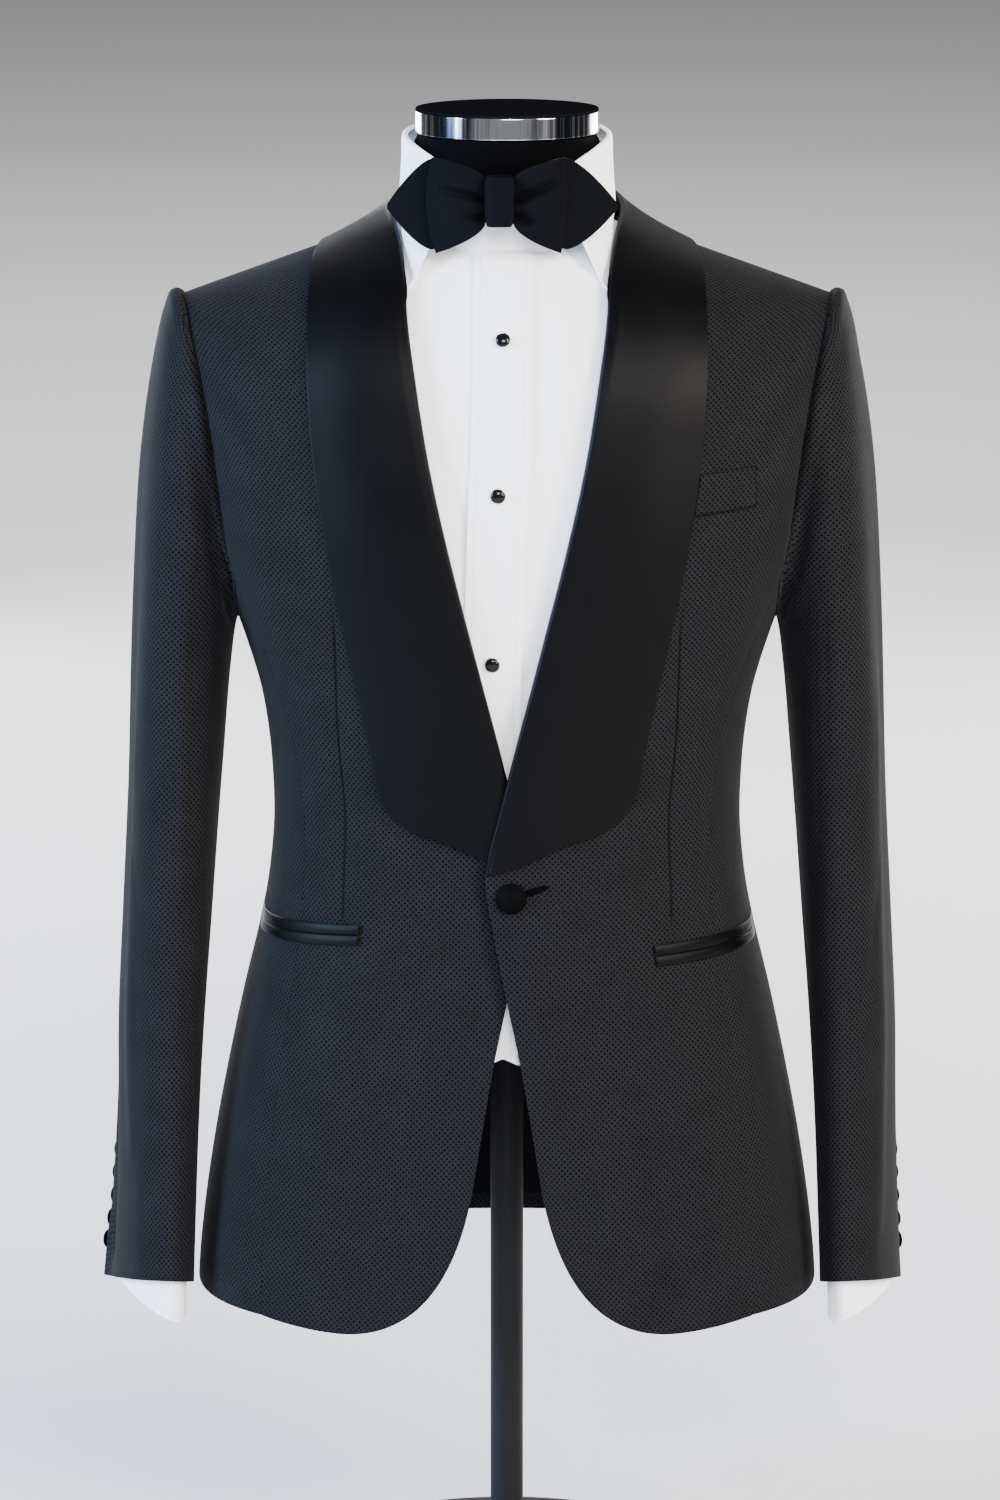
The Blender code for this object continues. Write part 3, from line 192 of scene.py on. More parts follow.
# The shawl collar from the lapel's lower end round to the centre back: its fold line, its outer
# edge, and how far it stands up from the body (0 on the chest, 1 round the neck).
SHAWL = Table(
    ("station", "fold_x", "fold_y", "fold_z", "edge_x", "edge_y", "edge_z", "stand"),
    (
        (0.0, -0.0137, -0.127, 0.5190, 0.0100, -0.126, 0.5262, 0.0),
        (0.3, -0.0128, -0.127, 0.5280, 0.0370, -0.124, 0.5385, 0.0),
        (0.6, -0.0108, -0.127, 0.5380, 0.0620, -0.120, 0.5470, 0.0),
        (1.0, -0.0068, -0.127, 0.5530, 0.0760, -0.117, 0.5590, 0.0),
        (2.0, 0.0060, -0.129, 0.6050, 0.0880, -0.117, 0.6000, 0.0),
        (3.0, 0.0215, -0.131, 0.6650, 0.1010, -0.118, 0.6600, 0.0),
        (4.0, 0.0366, -0.133, 0.7250, 0.1135, -0.118, 0.7200, 0.0),
        (5.0, 0.0500, -0.129, 0.7850, 0.1225, -0.115, 0.7800, 0.0),
        (6.0, 0.0592, -0.116, 0.8420, 0.1262, -0.108, 0.8250, 0.0),
        (7.0, 0.0635, -0.100, 0.8750, 0.1268, -0.093, 0.8600, 0.05),
        (8.0, 0.0650, -0.075, 0.9030, 0.1262, -0.060, 0.8880, 0.35),
        (9.0, 0.0696, -0.041, 0.9245, 0.1230, -0.020, 0.9040, 0.75),
        (10.0, 0.0728, -0.006, 0.9320, 0.1140, 0.022, 0.9060, 1.0),
        (11.0, 0.0680, 0.023, 0.9400, 0.0940, 0.055, 0.9030, 1.0),
        (12.0, 0.0390, 0.0555, 0.9510, 0.0530, 0.078, 0.9080, 1.0),
        (13.0, 0.0003, 0.0665, 0.9550, 0.0003, 0.084, 0.9110, 1.0),
        (14.0, -0.0390, 0.0555, 0.9510, -0.0530, 0.078, 0.9080, 1.0),
    ),
)

# Sleeve sections from the armhole to below the cuff, each through an outer and an inner point.
SLEEVE = Table(
    ("station", "outer_x", "outer_z", "inner_x", "inner_z", "centre_y", "half_depth", "sway", "hang"),
    (
        (0.0, 0.2125, 0.8780, 0.1770, 0.6670, 0.000, 0.0610, 0.000, 0.000),
        (0.3, 0.2160, 0.8795, 0.1775, 0.6665, 0.000, 0.0635, 0.000, 0.000),
        (1.0, 0.2235, 0.8690, 0.1783, 0.6625, 0.000, 0.0655, 0.000, 0.000),
        (2.0, 0.2315, 0.8280, 0.1792, 0.6550, 0.000, 0.0670, 0.001, 0.000),
        (3.0, 0.2385, 0.7700, 0.1805, 0.6430, 0.001, 0.0670, 0.002, 0.000),
        (4.0, 0.2430, 0.7000, 0.1830, 0.6200, 0.002, 0.0660, 0.003, 0.000),
        (5.0, 0.2470, 0.6250, 0.1865, 0.5800, 0.003, 0.0640, 0.005, 0.000),
        (6.0, 0.2505, 0.5450, 0.1910, 0.5300, 0.003, 0.0610, 0.007, 0.000),
        (7.0, 0.2540, 0.4700, 0.1960, 0.4700, 0.000, 0.0590, 0.009, 0.000),
        (8.0, 0.2570, 0.3950, 0.2020, 0.4000, -0.006, 0.0565, 0.011, 0.000),
        (9.0, 0.2572, 0.3160, 0.2070, 0.3250, -0.015, 0.0540, 0.013, 0.004),
        (10.0, 0.2602, 0.2215, 0.2110, 0.2195, -0.026, 0.0520, 0.014, 0.013),
        (11.0, 0.2630, 0.1950, 0.2110, 0.1950, -0.028, 0.0515, 0.014, 0.013),
    ),
)
SLEEVE_HEM = 10.0
HEM_HEIGHT = 0.2200
STATION_ABOVE_HEM = 0.100
STATION_BELOW_HEM = 0.025
FRONT_SEAM_ANGLE = 125.0
HIND_SEAM = Table(("station", "angle"), ((0.0, -108.0), (5.0, -95.0), (8.0, -75.0), (11.0, -62.0)))
BUTTON_LINE = 13.0  # degrees from the hind seam to the sleeve buttons

CUFF_TOP, CUFF_MIDDLE, CUFF_BOTTOM = 0.266, 0.2360, 0.2030
CUFF_INNER_X = 0.2165
CUFF_SLANT = 0.42
CUFF_INSET = 0.0050
SHIRT_SLEEVE_INSET = 0.0088


# ------------------------------------------------------------------ small maths on arrays

UPRIGHT = np.array((0.0, 0.0, 1.0))
RIM_ANGLE = math.radians(50)  # sharper edges than this are rounded


def ramp(value, low, high):
    """0 below low, 1 above high, smooth between."""
    t = np.clip((np.asarray(value, float) - low) / (high - low), 0.0, 1.0)
    return t * t * (3 - 2 * t)


def hump(value, centre, width):
    """1 at the centre, falling softly to 0 on both sides."""
    return np.exp(-(((value - centre) / width) ** 2))


def mix(a, b, share):
    return a + (b - a) * np.asarray(share, float)[..., None]


def paired(a, b):
    """Two arrays of numbers, stretched to one shape."""
    return np.broadcast_arrays(np.asarray(a, float), np.asarray(b, float))


def unit(vectors):
    return vectors / np.maximum(np.linalg.norm(vectors, axis=-1, keepdims=True), 1e-12)


def points_of(x, y, z):
    return np.stack(np.broadcast_arrays(x, y, z), axis=-1).astype(float)


def dot(a, b):
    return (a * b).sum(axis=-1)


def row_of(first, last, count):
    """Evenly spaced values along the rows of a grid."""
    return np.linspace(first, last, count)[None, :]


def column_of(first, last, count):
    """Evenly spaced values down the columns of a grid."""
    return np.linspace(first, last, count)[:, None]


def gathered(count, power):
    """Shares from 0 to 1 that lie closest together near 1."""
    return 1 - (1 - np.linspace(0.0, 1.0, count)) ** power


# ------------------------------------------------------------------ the body's surface


def ridge(x):
    """Height of the shoulder seam."""
    reach = np.abs(x)
    reach = np.where(reach < RIDGE_ROUND, (x * x / RIDGE_ROUND + RIDGE_ROUND) / 2, reach)
    return RIDGE_AT_NECK + RIDGE_SLOPE * (NECK_RADIUS - reach)


def turn_of(level):
    """How far a level has turned over the shoulder, 0 to a quarter turn."""
    return np.maximum(level - ARCH_START, 0.0) / (SHOULDER_TIP - ARCH_START) * math.pi / 2


def level_of(x, z, inset=0.0):
    """The level of a point: its height on the chest, its share of the turn above."""
    rise = np.clip((z - ARCH_START) / (ridge(x) - inset - ARCH_START), 0.0, 1.0)
    above = ARCH_START + np.arcsin(rise) / (math.pi / 2) * (SHOULDER_TIP - ARCH_START)
    return np.where(np.asarray(z) <= ARCH_START, z, above)


def half_depth(level, back):
    """How far the front or the back lies from the body's middle."""
    return np.where(back, BODY.at("back", level), BODY.at("front", level))


def depth_at(x, level, back, inset=0.0):
    half = BODY.at("half_width", level) - inset
    depth = half_depth(level, back) - inset
    share = np.minimum(np.abs(x) / half, 1.0)
    return depth * (1 - share**SQUARENESS) ** (1 / SQUARENESS)


def height_at(x, level, inset=0.0):
    above = ARCH_START + (ridge(x) - inset - ARCH_START) * np.sin(turn_of(level))
    return np.where(level > ARCH_START, above, level)


def body(x, level, back=False, inset=0.0):
    """Points of the body's surface, or inset inside it."""
    x, level = paired(x, level)
    y = depth_at(x, level, back, inset) * np.cos(turn_of(level))
    return points_of(x, np.where(back, y, -y), height_at(x, level, inset))


def body_round(angle, level):
    """The same surface by the angle from the centre front, in radians, for the sides."""
    angle, level = paired(angle, level)
    front = np.cos(angle) >= 0
    x = BODY.at("half_width", level) * np.abs(np.sin(angle)) ** (2 / SQUARENESS)
    y = half_depth(level, ~front) * np.abs(np.cos(angle)) ** (2 / SQUARENESS) * np.cos(turn_of(level))
    return points_of(x, np.where(front, -y, y), height_at(x, level))


def outward(x, level, back=False):
    """The surface's normals, pointing out of the body."""
    nudge = 0.0004
    x, level = paired(x, level)
    point = body(x, level, back)
    across = point - body(x - np.where(x >= 0, 1, -1) * nudge, level, back)
    low = np.maximum(level - nudge, BODY.keys[0])
    normal = unit(np.cross(across, body(x, low + nudge, back) - body(x, low, back)))
    hub = points_of(0.0, 0.0, np.minimum(point[..., 2], ARCH_START - 0.05))
    return normal * np.where(dot(normal, point - hub) > 0, 1, -1)[..., None]


def off_body(x, level, out, back=False):
    """Points moved out from the surface."""
    return body(x, level, back) + outward(x, level, back) * np.asarray(out, float)[..., None]


def nearest(point):
    """The level and side of the surface points that nearby points project to, and their distance."""
    x, y, z = point[..., 0], point[..., 1], point[..., 2]
    back = y > 0
    level = np.minimum(z, ARCH_START)
    above = z > ARCH_START
    for _ in range(6):
        reach = np.abs(y) / np.maximum(depth_at(x, level, back), 1e-6)
        rise = (z - ARCH_START) / (ridge(x) - ARCH_START)
        turned_to = ARCH_START + np.arctan2(rise, reach) / (math.pi / 2) * (SHOULDER_TIP - ARCH_START)
        level = np.where(above, turned_to, level)
    return level, back, dot(point - body(x, level, back), outward(x, level, back))


def clear_of_body(point, out):
    """The points themselves, or moved out to lie at least this far off the body."""
    level, back, distance = nearest(point)
    return point + outward(point[..., 0], level, back) * np.maximum(out - distance, 0.0)[..., None]


def seam_angle(level, which):
    """Angle of a side seam from the centre front, in radians."""
    angle = np.arcsin(SEAMS.at(which, level) ** (SQUARENESS / 2))
    return angle if which == "front" else math.pi - angle


SEAM_TRIM = SEAM_GAP / 2 / 0.13  # half a seam's gap as an angle on the body


def seam_x(level, which):
    """Where a front or a back ends, just short of the side seam or the armhole."""
    angle = np.arcsin(SEAMS.at(which, level) ** (SQUARENESS / 2)) - SEAM_TRIM
    return BODY.at("half_width", level) * np.sin(angle) ** (2 / SQUARENESS)


HUB_TOP = 0.72  # places inside the body or a sleeve lie no higher than this


def trunk(points):
    """Places inside the body at the points' heights."""
    return points_of(points[..., 0] * 0.3, 0.0, np.minimum(points[..., 2], HUB_TOP))


def arm(points):
    """Places inside the sleeve at the points' heights."""
    side = np.where(points[..., 0] > 0, 1, -1)
    return points_of(side * 0.222, -0.01, np.minimum(points[..., 2], HUB_TOP))


def collar_hub(points):
    """Inside a lapel's roll: towards the trunk's axis, or the neck's at collar height."""
    high = (points[..., 2] > 0.925)[..., None]
    return np.where(high, np.array((0.0, NECK_Y, 0.90)), trunk(points))


def behind(points):
    """Places behind a piece of the bow."""
    return points + np.array((0.0, 0.02, 0.0))


def mirrored(points):
    return points * np.array((-1.0, 1.0, 1.0))


def worn(points, side):
    """Points made for the wearer's left, on the side where they are worn."""
    return points if side > 0 else mirrored(points)


# ------------------------------------------------------------------ folds laid one by one


def soft_folds(across, up, folds):
    """Height of soft folds: each is a path of (across, up) places, a width and a height."""
    total = np.zeros(np.broadcast(across, up).shape)
    for path, width, height in folds:
        gap = np.full(total.shape, 1e9)
        run = np.zeros(total.shape)
        start = 0.0
        for (a, b), (c, d) in zip(path, path[1:]):
            length = math.hypot(c - a, d - b)
            share = np.clip(((across - a) * (c - a) + (up - b) * (d - b)) / length**2, 0.0, 1.0)
            away = np.hypot(across - a - share * (c - a), up - b - share * (d - b))
            run = np.where(away < gap, start + share * length, run)
            gap = np.minimum(gap, away)
            start += length
        total += height * hump(gap, 0.0, width) * np.sin(math.pi * np.clip(run / start, 0, 1)) ** 0.6
    return total


def jacket_folds(across, up, folds):
    """Soft folds at the strength asked for."""
    return bpy.context.scene.tuxedo_sizes.fold_strength * soft_folds(across, up, folds)


# Each fold: a path of (x, height) on a front as worn on the left, then its width and height out of
# the cloth, in metres. A negative height is a hollow.
LEFT_FRONT_FOLDS = (
    (((0.080, 0.564), (0.091, 0.570), (0.103, 0.579)), 0.0050, 0.0026),
    (((0.084, 0.554), (0.094, 0.559), (0.103, 0.565)), 0.0050, -0.0018),
    (((0.014, 0.492), (0.050, 0.470), (0.096, 0.430)), 0.0140, 0.0014),
    (((0.016, 0.470), (0.050, 0.435), (0.084, 0.380)), 0.0160, -0.0012),
    (((0.020, 0.512), (0.060, 0.520), (0.098, 0.536)), 0.0100, 0.0010),
    (((0.130, 0.420), (0.135, 0.330), (0.138, 0.235)), 0.0160, 0.0016),
    (((0.085, 0.350), (0.083, 0.290), (0.078, 0.222)), 0.0200, 0.0014),
    (((0.145, 0.640), (0.150, 0.700), (0.165, 0.760)), 0.0130, 0.0016),
    (((0.128, 0.560), (0.132, 0.500), (0.140, 0.470)), 0.0120, 0.0010),
)
RIGHT_FRONT_FOLDS = (
    (((0.012, 0.497), (0.045, 0.476), (0.082, 0.446)), 0.0110, 0.0022),
    (((0.012, 0.478), (0.046, 0.455), (0.090, 0.415)), 0.0130, -0.0018),
    (((0.012, 0.452), (0.046, 0.415), (0.080, 0.350)), 0.0160, 0.0012),
    (((0.020, 0.512), (0.062, 0.524), (0.100, 0.545)), 0.0110, 0.0010),
    (((0.120, 0.420), (0.126, 0.330), (0.130, 0.230)), 0.0180, 0.0016),
    (((0.070, 0.330), (0.068, 0.280), (0.064, 0.225)), 0.0200, 0.0012),
    (((0.148, 0.650), (0.152, 0.700), (0.168, 0.770)), 0.0130, 0.0018),
    (((0.090, 0.700), (0.096, 0.725), (0.110, 0.755)), 0.0100, 0.0008),
)
BACK_FOLDS = (
    (((0.050, 0.860), (0.070, 0.780), (0.078, 0.690)), 0.0200, 0.0020),
    (((0.105, 0.840), (0.118, 0.770), (0.124, 0.690)), 0.0140, 0.0018),
    (((0.020, 0.560), (0.060, 0.548), (0.110, 0.556)), 0.0100, 0.0016),
    (((0.030, 0.530), (0.070, 0.520), (0.115, 0.530)), 0.0100, -0.0014),
    (((0.045, 0.470), (0.050, 0.380), (0.052, 0.240)), 0.0180, 0.0026),
    (((0.085, 0.450), (0.094, 0.350), (0.100, 0.235)), 0.0160, -0.0018),
    (((0.120, 0.440), (0.130, 0.340), (0.138, 0.230)), 0.0150, 0.0020),
)
SIDE_FOLDS = (
    (((0.020, 0.620), (0.030, 0.560), (0.024, 0.500)), 0.0100, 0.0014),
    (((0.050, 0.480), (0.056, 0.380), (0.060, 0.240)), 0.0120, 0.0020),
    (((0.020, 0.440), (0.022, 0.340), (0.020, 0.240)), 0.0120, -0.0014),
)

# Here a path runs through (angle round the sleeve in hundreds of degrees, height in metres).
LEFT_SLEEVE_FOLDS = (
    (((0.95, 0.640), (0.60, 0.610), (0.20, 0.600)), 0.060, 0.0022),
    (((1.15, 0.575), (0.75, 0.560), (0.35, 0.565)), 0.055, -0.0020),
    (((1.10, 0.530), (0.70, 0.510), (0.25, 0.520)), 0.060, 0.0020),
    (((0.40, 0.480), (0.36, 0.380), (0.34, 0.260)), 0.110, 0.0022),
    (((0.05, 0.840), (0.06, 0.720), (0.10, 0.600)), 0.120, 0.0018),
    (((-0.35, 0.560), (-0.60, 0.520), (-0.90, 0.530)), 0.070, 0.0024),
    (((-0.30, 0.500), (-0.60, 0.470), (-0.85, 0.480)), 0.070, -0.0018),
)
RIGHT_SLEEVE_FOLDS = (
    (((1.00, 0.655), (0.65, 0.628), (0.25, 0.622)), 0.060, 0.0020),
    (((1.12, 0.590), (0.72, 0.570), (0.30, 0.578)), 0.055, -0.0018),
    (((1.05, 0.545), (0.66, 0.522), (0.20, 0.528)), 0.060, 0.0018),
    (((0.32, 0.500), (0.30, 0.400), (0.30, 0.300)), 0.110, 0.0020),
    (((0.02, 0.850), (0.02, 0.730), (0.06, 0.600)), 0.120, 0.0016),
    (((-0.30, 0.285), (-0.48, 0.255), (-0.60, 0.232)), 0.070, 0.0036),
    (((-0.12, 0.280), (-0.30, 0.250), (-0.46, 0.228)), 0.060, -0.0026),
    (((-0.35, 0.570), (-0.60, 0.530), (-0.90, 0.540)), 0.070, 0.0022),
)


def front_relief(x, height, side):
    """How far a front stands off its plain surface: folds, and the dip along its dart."""
    folds = LEFT_FRONT_FOLDS if side > 0 else RIGHT_FRONT_FOLDS
    clear = ramp(x - FRONT_EDGE.at("x", height), 0.004, 0.030)
    lapel = ramp(height, 0.555, 0.590) * (1 - ramp(x, 0.088, 0.104))
    relief = jacket_folds(x, height, folds) * clear * (1 - lapel)
    return relief - 0.0008 * dart_valley(x, height, 0.0060)


def dart_valley(x, height, width):
    """1 along the dart between its ends."""
    along = ramp(height, DART_LOW, DART_LOW + 0.012) * (1 - ramp(height, DART_HIGH - 0.03, DART_HIGH))
    return hump(x, DART.at("x", height), width) * along


# ------------------------------------------------------------------ making pieces


def deselect():
    for item in bpy.context.selected_objects:
        item.select_set(False)


def normals_of(points, hub):
    """Normals of a grid of points, turned away from the hub."""
    normal = unit(np.cross(np.gradient(points, axis=1), np.gradient(points, axis=0)))
    return normal * (1 if dot(normal, points - hub(points)).sum() > 0 else -1)


def relieved(points, height, hub):
    """Moves a grid of points out by a height."""
    return points + normals_of(points, hub) * height[..., None]


def eased(points, rows):
    """A grid smoothed along its columns over so many rows, with its first and last rows kept."""
    reach = 3 * rows
    weights = np.exp(-0.5 * (np.arange(-reach, reach + 1) / rows) ** 2)
    before = 2 * points[:1] - points[reach:0:-1]
    after = 2 * points[-1:] - points[-2 : -reach - 2 : -1]
    longer = np.concatenate([before, points, after])
    count = len(points)
    return sum(w * longer[i : i + count] for i, w in enumerate(weights / weights.sum()))


def arc_lengths(points, axis):
    """Metres along the rows (axis 1) or columns (axis 0) of a grid."""
    steps = np.linalg.norm(np.diff(points, axis=axis), axis=-1)
    pad = np.zeros_like(steps.take([0], axis=axis))
    return np.concatenate([pad, np.cumsum(steps, axis=axis)], axis=axis)


def panel_map(points):
    """Places on a panel in metres: along its rows as seen from above, and down its columns."""
    level_steps = np.linalg.norm(np.diff(points[..., :2], axis=1), axis=-1)
    along_rows = np.pad(np.cumsum(level_steps, axis=1), ((0, 0), (1, 0)))
    along_rows -= along_rows[:, [points.shape[1] // 2]]
    steps = np.linalg.norm(np.diff(points[..., 1:], axis=0), axis=-1)
    down = np.pad(np.cumsum(steps, axis=0), ((1, 0), (0, 0)))
    rising = 1 if points[-1, 0, 2] > points[0, 0, 2] else -1
    return np.stack([along_rows, points[:1, :, 2] + rising * down], axis=-1)


TUBE_WIDE, TUBE_DEEP = 0.031, 0.062  # half sizes of the tube that a sleeve's weave is drawn on


def sleeve_map(points):
    """Places on a sleeve in metres: round an upright tube of its width, and down it."""
    turns = np.radians(np.arange(-180.0, 541.0))
    ring = np.stack([TUBE_WIDE * np.cos(turns), TUBE_DEEP * np.sin(turns)], axis=-1)
    round_it = np.concatenate([[0.0], np.cumsum(np.linalg.norm(np.diff(ring, axis=0), axis=1))])
    keys = SLEEVE.columns
    place = np.interp(-points[..., 2], -keys["outer_z"], keys["outer_x"])
    middle = np.interp(-points[..., 2], -keys["outer_z"], keys["centre_y"])
    wide = (np.abs(points[..., 0]) - place + TUBE_WIDE) / TUBE_WIDE
    turn = np.arctan2((middle - points[..., 1]) / TUBE_DEEP, wide)
    turn = np.where(turn < -math.pi * 0.62, turn + 2 * math.pi, turn)
    return np.stack([np.interp(turn, turns, round_it), points[..., 2]], axis=-1)


def whole_mesh(operator, **settings):
    """Runs a mesh operator on every part of the active mesh."""
    bpy.ops.object.mode_set(mode="EDIT")
    bpy.ops.mesh.select_all(action="SELECT")
    operator(**settings)
    bpy.ops.object.mode_set(mode="OBJECT")


def close_ends():
    """Fills the open ends of the active mesh and turns its faces outwards."""
    bpy.ops.object.mode_set(mode="EDIT")
    bpy.ops.mesh.select_all(action="DESELECT")
    bpy.ops.mesh.select_non_manifold()
    bpy.ops.mesh.fill()
    bpy.ops.object.mode_set(mode="OBJECT")
    whole_mesh(bpy.ops.mesh.normals_make_consistent, inside=False)


def shape_grid(name, points, hub=None, closed=False, masks=None, places=None):
    """A grid primitive whose points are moved to points[row, column], mapped in metres.

    Its faces are turned away from hub; masks are attributes by name, one value a point.
    """
    rows, columns = points.shape[:2]
    deselect()
    bpy.ops.mesh.primitive_grid_add(x_subdivisions=columns - 1, y_subdivisions=rows - 1, size=2)
    made = bpy.context.object
    made.name = made.data.name = name
    mesh = made.data
    flat = np.empty(len(mesh.vertices) * 3, np.float32)
    mesh.vertices.foreach_get("co", flat)
    flat = flat.reshape(-1, 3)
    column = np.rint((flat[:, 0] + 1) / 2 * (columns - 1)).astype(int)
    row = np.rint((flat[:, 1] + 1) / 2 * (rows - 1)).astype(int)
    mesh.vertices.foreach_set("co", points[row, column].astype(np.float32).ravel())
    if places is None:
        across = arc_lengths(points, 1)
        across = across - across[:, [columns // 2]]
        up = arc_lengths(points, 0)[:, [columns // 2]] + np.zeros_like(across)
        places = np.stack([across, up], axis=-1)
    corner = np.empty(len(mesh.loops), np.int32)
    mesh.loops.foreach_get("vertex_index", corner)
    places = places[row, column][corner]
    mesh.uv_layers[0].data.foreach_set("uv", places.astype(np.float32).ravel())
    for label, values in (masks or {}).items():
        mask = mesh.attributes.new(label, "FLOAT", "POINT")
        mask.data.foreach_set("value", values[row, column].astype(np.float32))
    mesh.update()
    if closed:
        whole_mesh(bpy.ops.mesh.remove_doubles, threshold=1e-6)
    if hub is not None:
        centre = np.array([face.center for face in mesh.polygons])
        normal = np.array([face.normal for face in mesh.polygons])
        if dot(normal, centre - hub(centre)).sum() < 0:
            mesh.flip_normals()
    else:
        whole_mesh(bpy.ops.mesh.normals_make_consistent, inside=False)
    bpy.ops.object.shade_smooth()
    return made


def modify(piece, kind, **settings):
    """Adds a modifier with its settings and applies it."""
    bpy.context.view_layer.objects.active = piece
    bpy.ops.object.modifier_add(type=kind)
    modifier = piece.modifiers[-1]
    for name, value in settings.items():
        setattr(modifier, name, value)
    bpy.ops.object.modifier_apply(modifier=modifier.name)


def thicken(piece, wall, rim, lined=False):
    """Gives cloth its wall, inwards, and rounds its rims."""
    modify(piece, "SOLIDIFY", thickness=wall, offset=-1.0, material_offset=1 if lined else 0)
    if rim:
        modify(piece, "BEVEL", width=rim, segments=2, limit_method="ANGLE", angle_limit=RIM_ANGLE)


def settle(piece, finishes, nodes):
    """Gives a piece its finishes, hangs it under the root, and hides the parts it stands for."""
    for finish in finishes:
        piece.data.materials.append(finish_named(finish))
    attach(piece, "root")
    if nodes:
        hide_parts(*nodes)


# The finish and the slot of each cloth.
CLOTHS = {
    "cloth": ("cloth", "jacket_cloth"),
    "poplin": ("poplin", "poplin"),
    "satin": ("satin", "satin"),
    "silk": ("bow", "bow_silk"),
    "viscose": ("lining", "lining"),
}


def sew(node, cloth, points, hub, wall, rim, cut, held, area=None, rests_on=(), lined=False, **grid):
    """Makes the piece of cloth that stands for a node, with a lining on its inner face if lined."""
    finish, slot = CLOTHS[cloth]
    made = shape_grid(f"{node}_{cloth}", points, hub, **grid)
    thicken(made, wall, rim, lined)
    settle(made, [finish, "lining"] if lined else [finish], [node])


def sew_panel(node, side, points, hub, chart, cut, area, masks=None):
    """Makes a lined panel of the jacket; chart gives the places of its weave."""
    points = worn(points, side)
    grid = {"masks": masks, "places": chart(points)}
    rim = bpy.context.scene.tuxedo_sizes.rim
    sew(node, "cloth", points, hub, CLOTH_WALL, rim, cut, "hung", area, lined=True, **grid)


def turned(name, profile, place, axis=(0, 0, 1), steps=64):
    """A closed profile of radius and height pairs, turned round an axis through its place."""
    profile = np.array(profile, float)
    angle = np.linspace(0.0, 2 * math.pi, steps + 1)
    x = profile[:, [0]] * np.cos(angle)
    y = profile[:, [0]] * np.sin(angle)
    points = points_of(x, y, profile[:, [1]])
    turn = np.array(Vector((0, 0, 1)).rotation_difference(Vector(axis)).to_matrix())
    return shape_grid(name, points @ turn.T + np.array(place), closed=True)


def turn_piece(node, tail, finish, profile, place, axis=(0, 0, 1), steps=64):
    """Makes a turned piece that stands for a node."""
    settle(turned(f"{node}_{tail}", profile, place, axis, steps), [finish], [node])


def rounded(corners, radius, steps=3):
    """A profile with each of its inner corners rounded."""
    corners = [np.array(corner, float) for corner in corners]
    path = [corners[0]]
    for before, corner, after in zip(corners, corners[1:], corners[2:]):
        reach = min(radius, np.linalg.norm(before - corner) / 3, np.linalg.norm(after - corner) / 3)
        start = corner + unit(before - corner) * reach
        end = corner + unit(after - corner) * reach
        path.append(start + unit(before - corner) * reach * 0.3)
        for t in np.linspace(0.0, 1.0, steps + 1):
            path.append(start * (1 - t) ** 2 + corner * 2 * t * (1 - t) + end * t**2)
        path.append(end + unit(after - corner) * reach * 0.3)
    path.append(corners[-1])
    return path


def pillow(radius, height, steps=14):
    """The profile of a cloth-covered button: a domed face over a flatter back."""
    rim = 0.35  # where its widest ring lies, as a share of its height
    profile = []
    for turn in np.linspace(0.0, math.pi, steps):
        reach = radius * math.sin(turn) ** 0.62
        rise = math.cos(turn)
        lift = height * (rim + (1 - rim) * rise**1.3) if rise > 0 else height * rim * (1 - (-rise) ** 0.7)
        profile.append((reach if 0 < turn < math.pi else 0.0, lift))
    return profile


# ------------------------------------------------------------------ jacket body

PANEL_LOW = 0.216
SIDE_WIDTH = 0.075
HEM_REACH = 0.05  # the hem's slope is taken up within this height
SHOULDER_SOFT = (0.735, 0.765)  # the chest's turn is softened between these heights and above
SHOULDER_ROWS = 4
HEM_FRONT_SEAM, HEM_BACK_SEAM, HEM_BACK = 0.2185, 0.2235, 0.2245
CORNER_START, CORNER_PULL, CORNER_END = (0.0225, 0.310), (0.0415, 0.2095), (0.1150, 0.2135)
CORNER_SHARE = 0.68
CORNER_TOP = 0.470  # the rounded corner's pull on the cloth ends here
EDGE_UNDER_LAPEL = 0.0062


def panel_levels(below, above, low=PANEL_LOW):
    """Levels from the hem to the shoulder seam, evenly far apart on the cloth."""
    chest = np.linspace(low, ARCH_START, below, endpoint=False)
    return np.concatenate([chest, np.linspace(ARCH_START, SHOULDER_TIP, above)])[:, None]


def to_hem(level, hem):
    """How far the rows near a panel's foot move, so that the lowest one lies on its hem."""
    return (hem - PANEL_LOW) * (1 - ramp(level, PANEL_LOW, PANEL_LOW + HEM_REACH))


def front_lift(x, level):
    """How far the left front rises to lap over the right one."""
    across = 1 - ramp(x, 0.010, 0.100)
    return FRONT_LIFT * across * (1 - ramp(level, 0.590, 0.700)) * ramp(level, 0.300, 0.430)


def front_inner_edge(level):
    """The x of a front's free edge: its front edge, then under the lapel's fold."""
    z = np.array(level, float)
    for _ in range(8):
        z = np.where(level > 0.495, height_at(FRONT_EDGE.at("x", z), level), level)
    return FRONT_EDGE.at("x", z) + EDGE_UNDER_LAPEL * ramp(level, 0.5195, 0.532)


def hem_height(share):
    """The front's lower edge from the rounded corner to the side seam."""
    t = np.clip(share / CORNER_SHARE, 0, 1)
    curve = [
        a * (1 - t) ** 2 + 2 * b * t * (1 - t) + c * t**2
        for a, b, c in zip(CORNER_START, CORNER_PULL, CORNER_END)
    ]
    s = np.clip((share - CORNER_SHARE) / (1 - CORNER_SHARE), 0, 1)
    end_x = seam_x(HEM_FRONT_SEAM, "front")
    x = np.where(share < CORNER_SHARE, curve[0], CORNER_END[0] + (end_x - CORNER_END[0]) * s)
    rise = (HEM_FRONT_SEAM - CORNER_END[1]) * s**1.5
    return x, np.where(share < CORNER_SHARE, curve[1], CORNER_END[1] + rise)


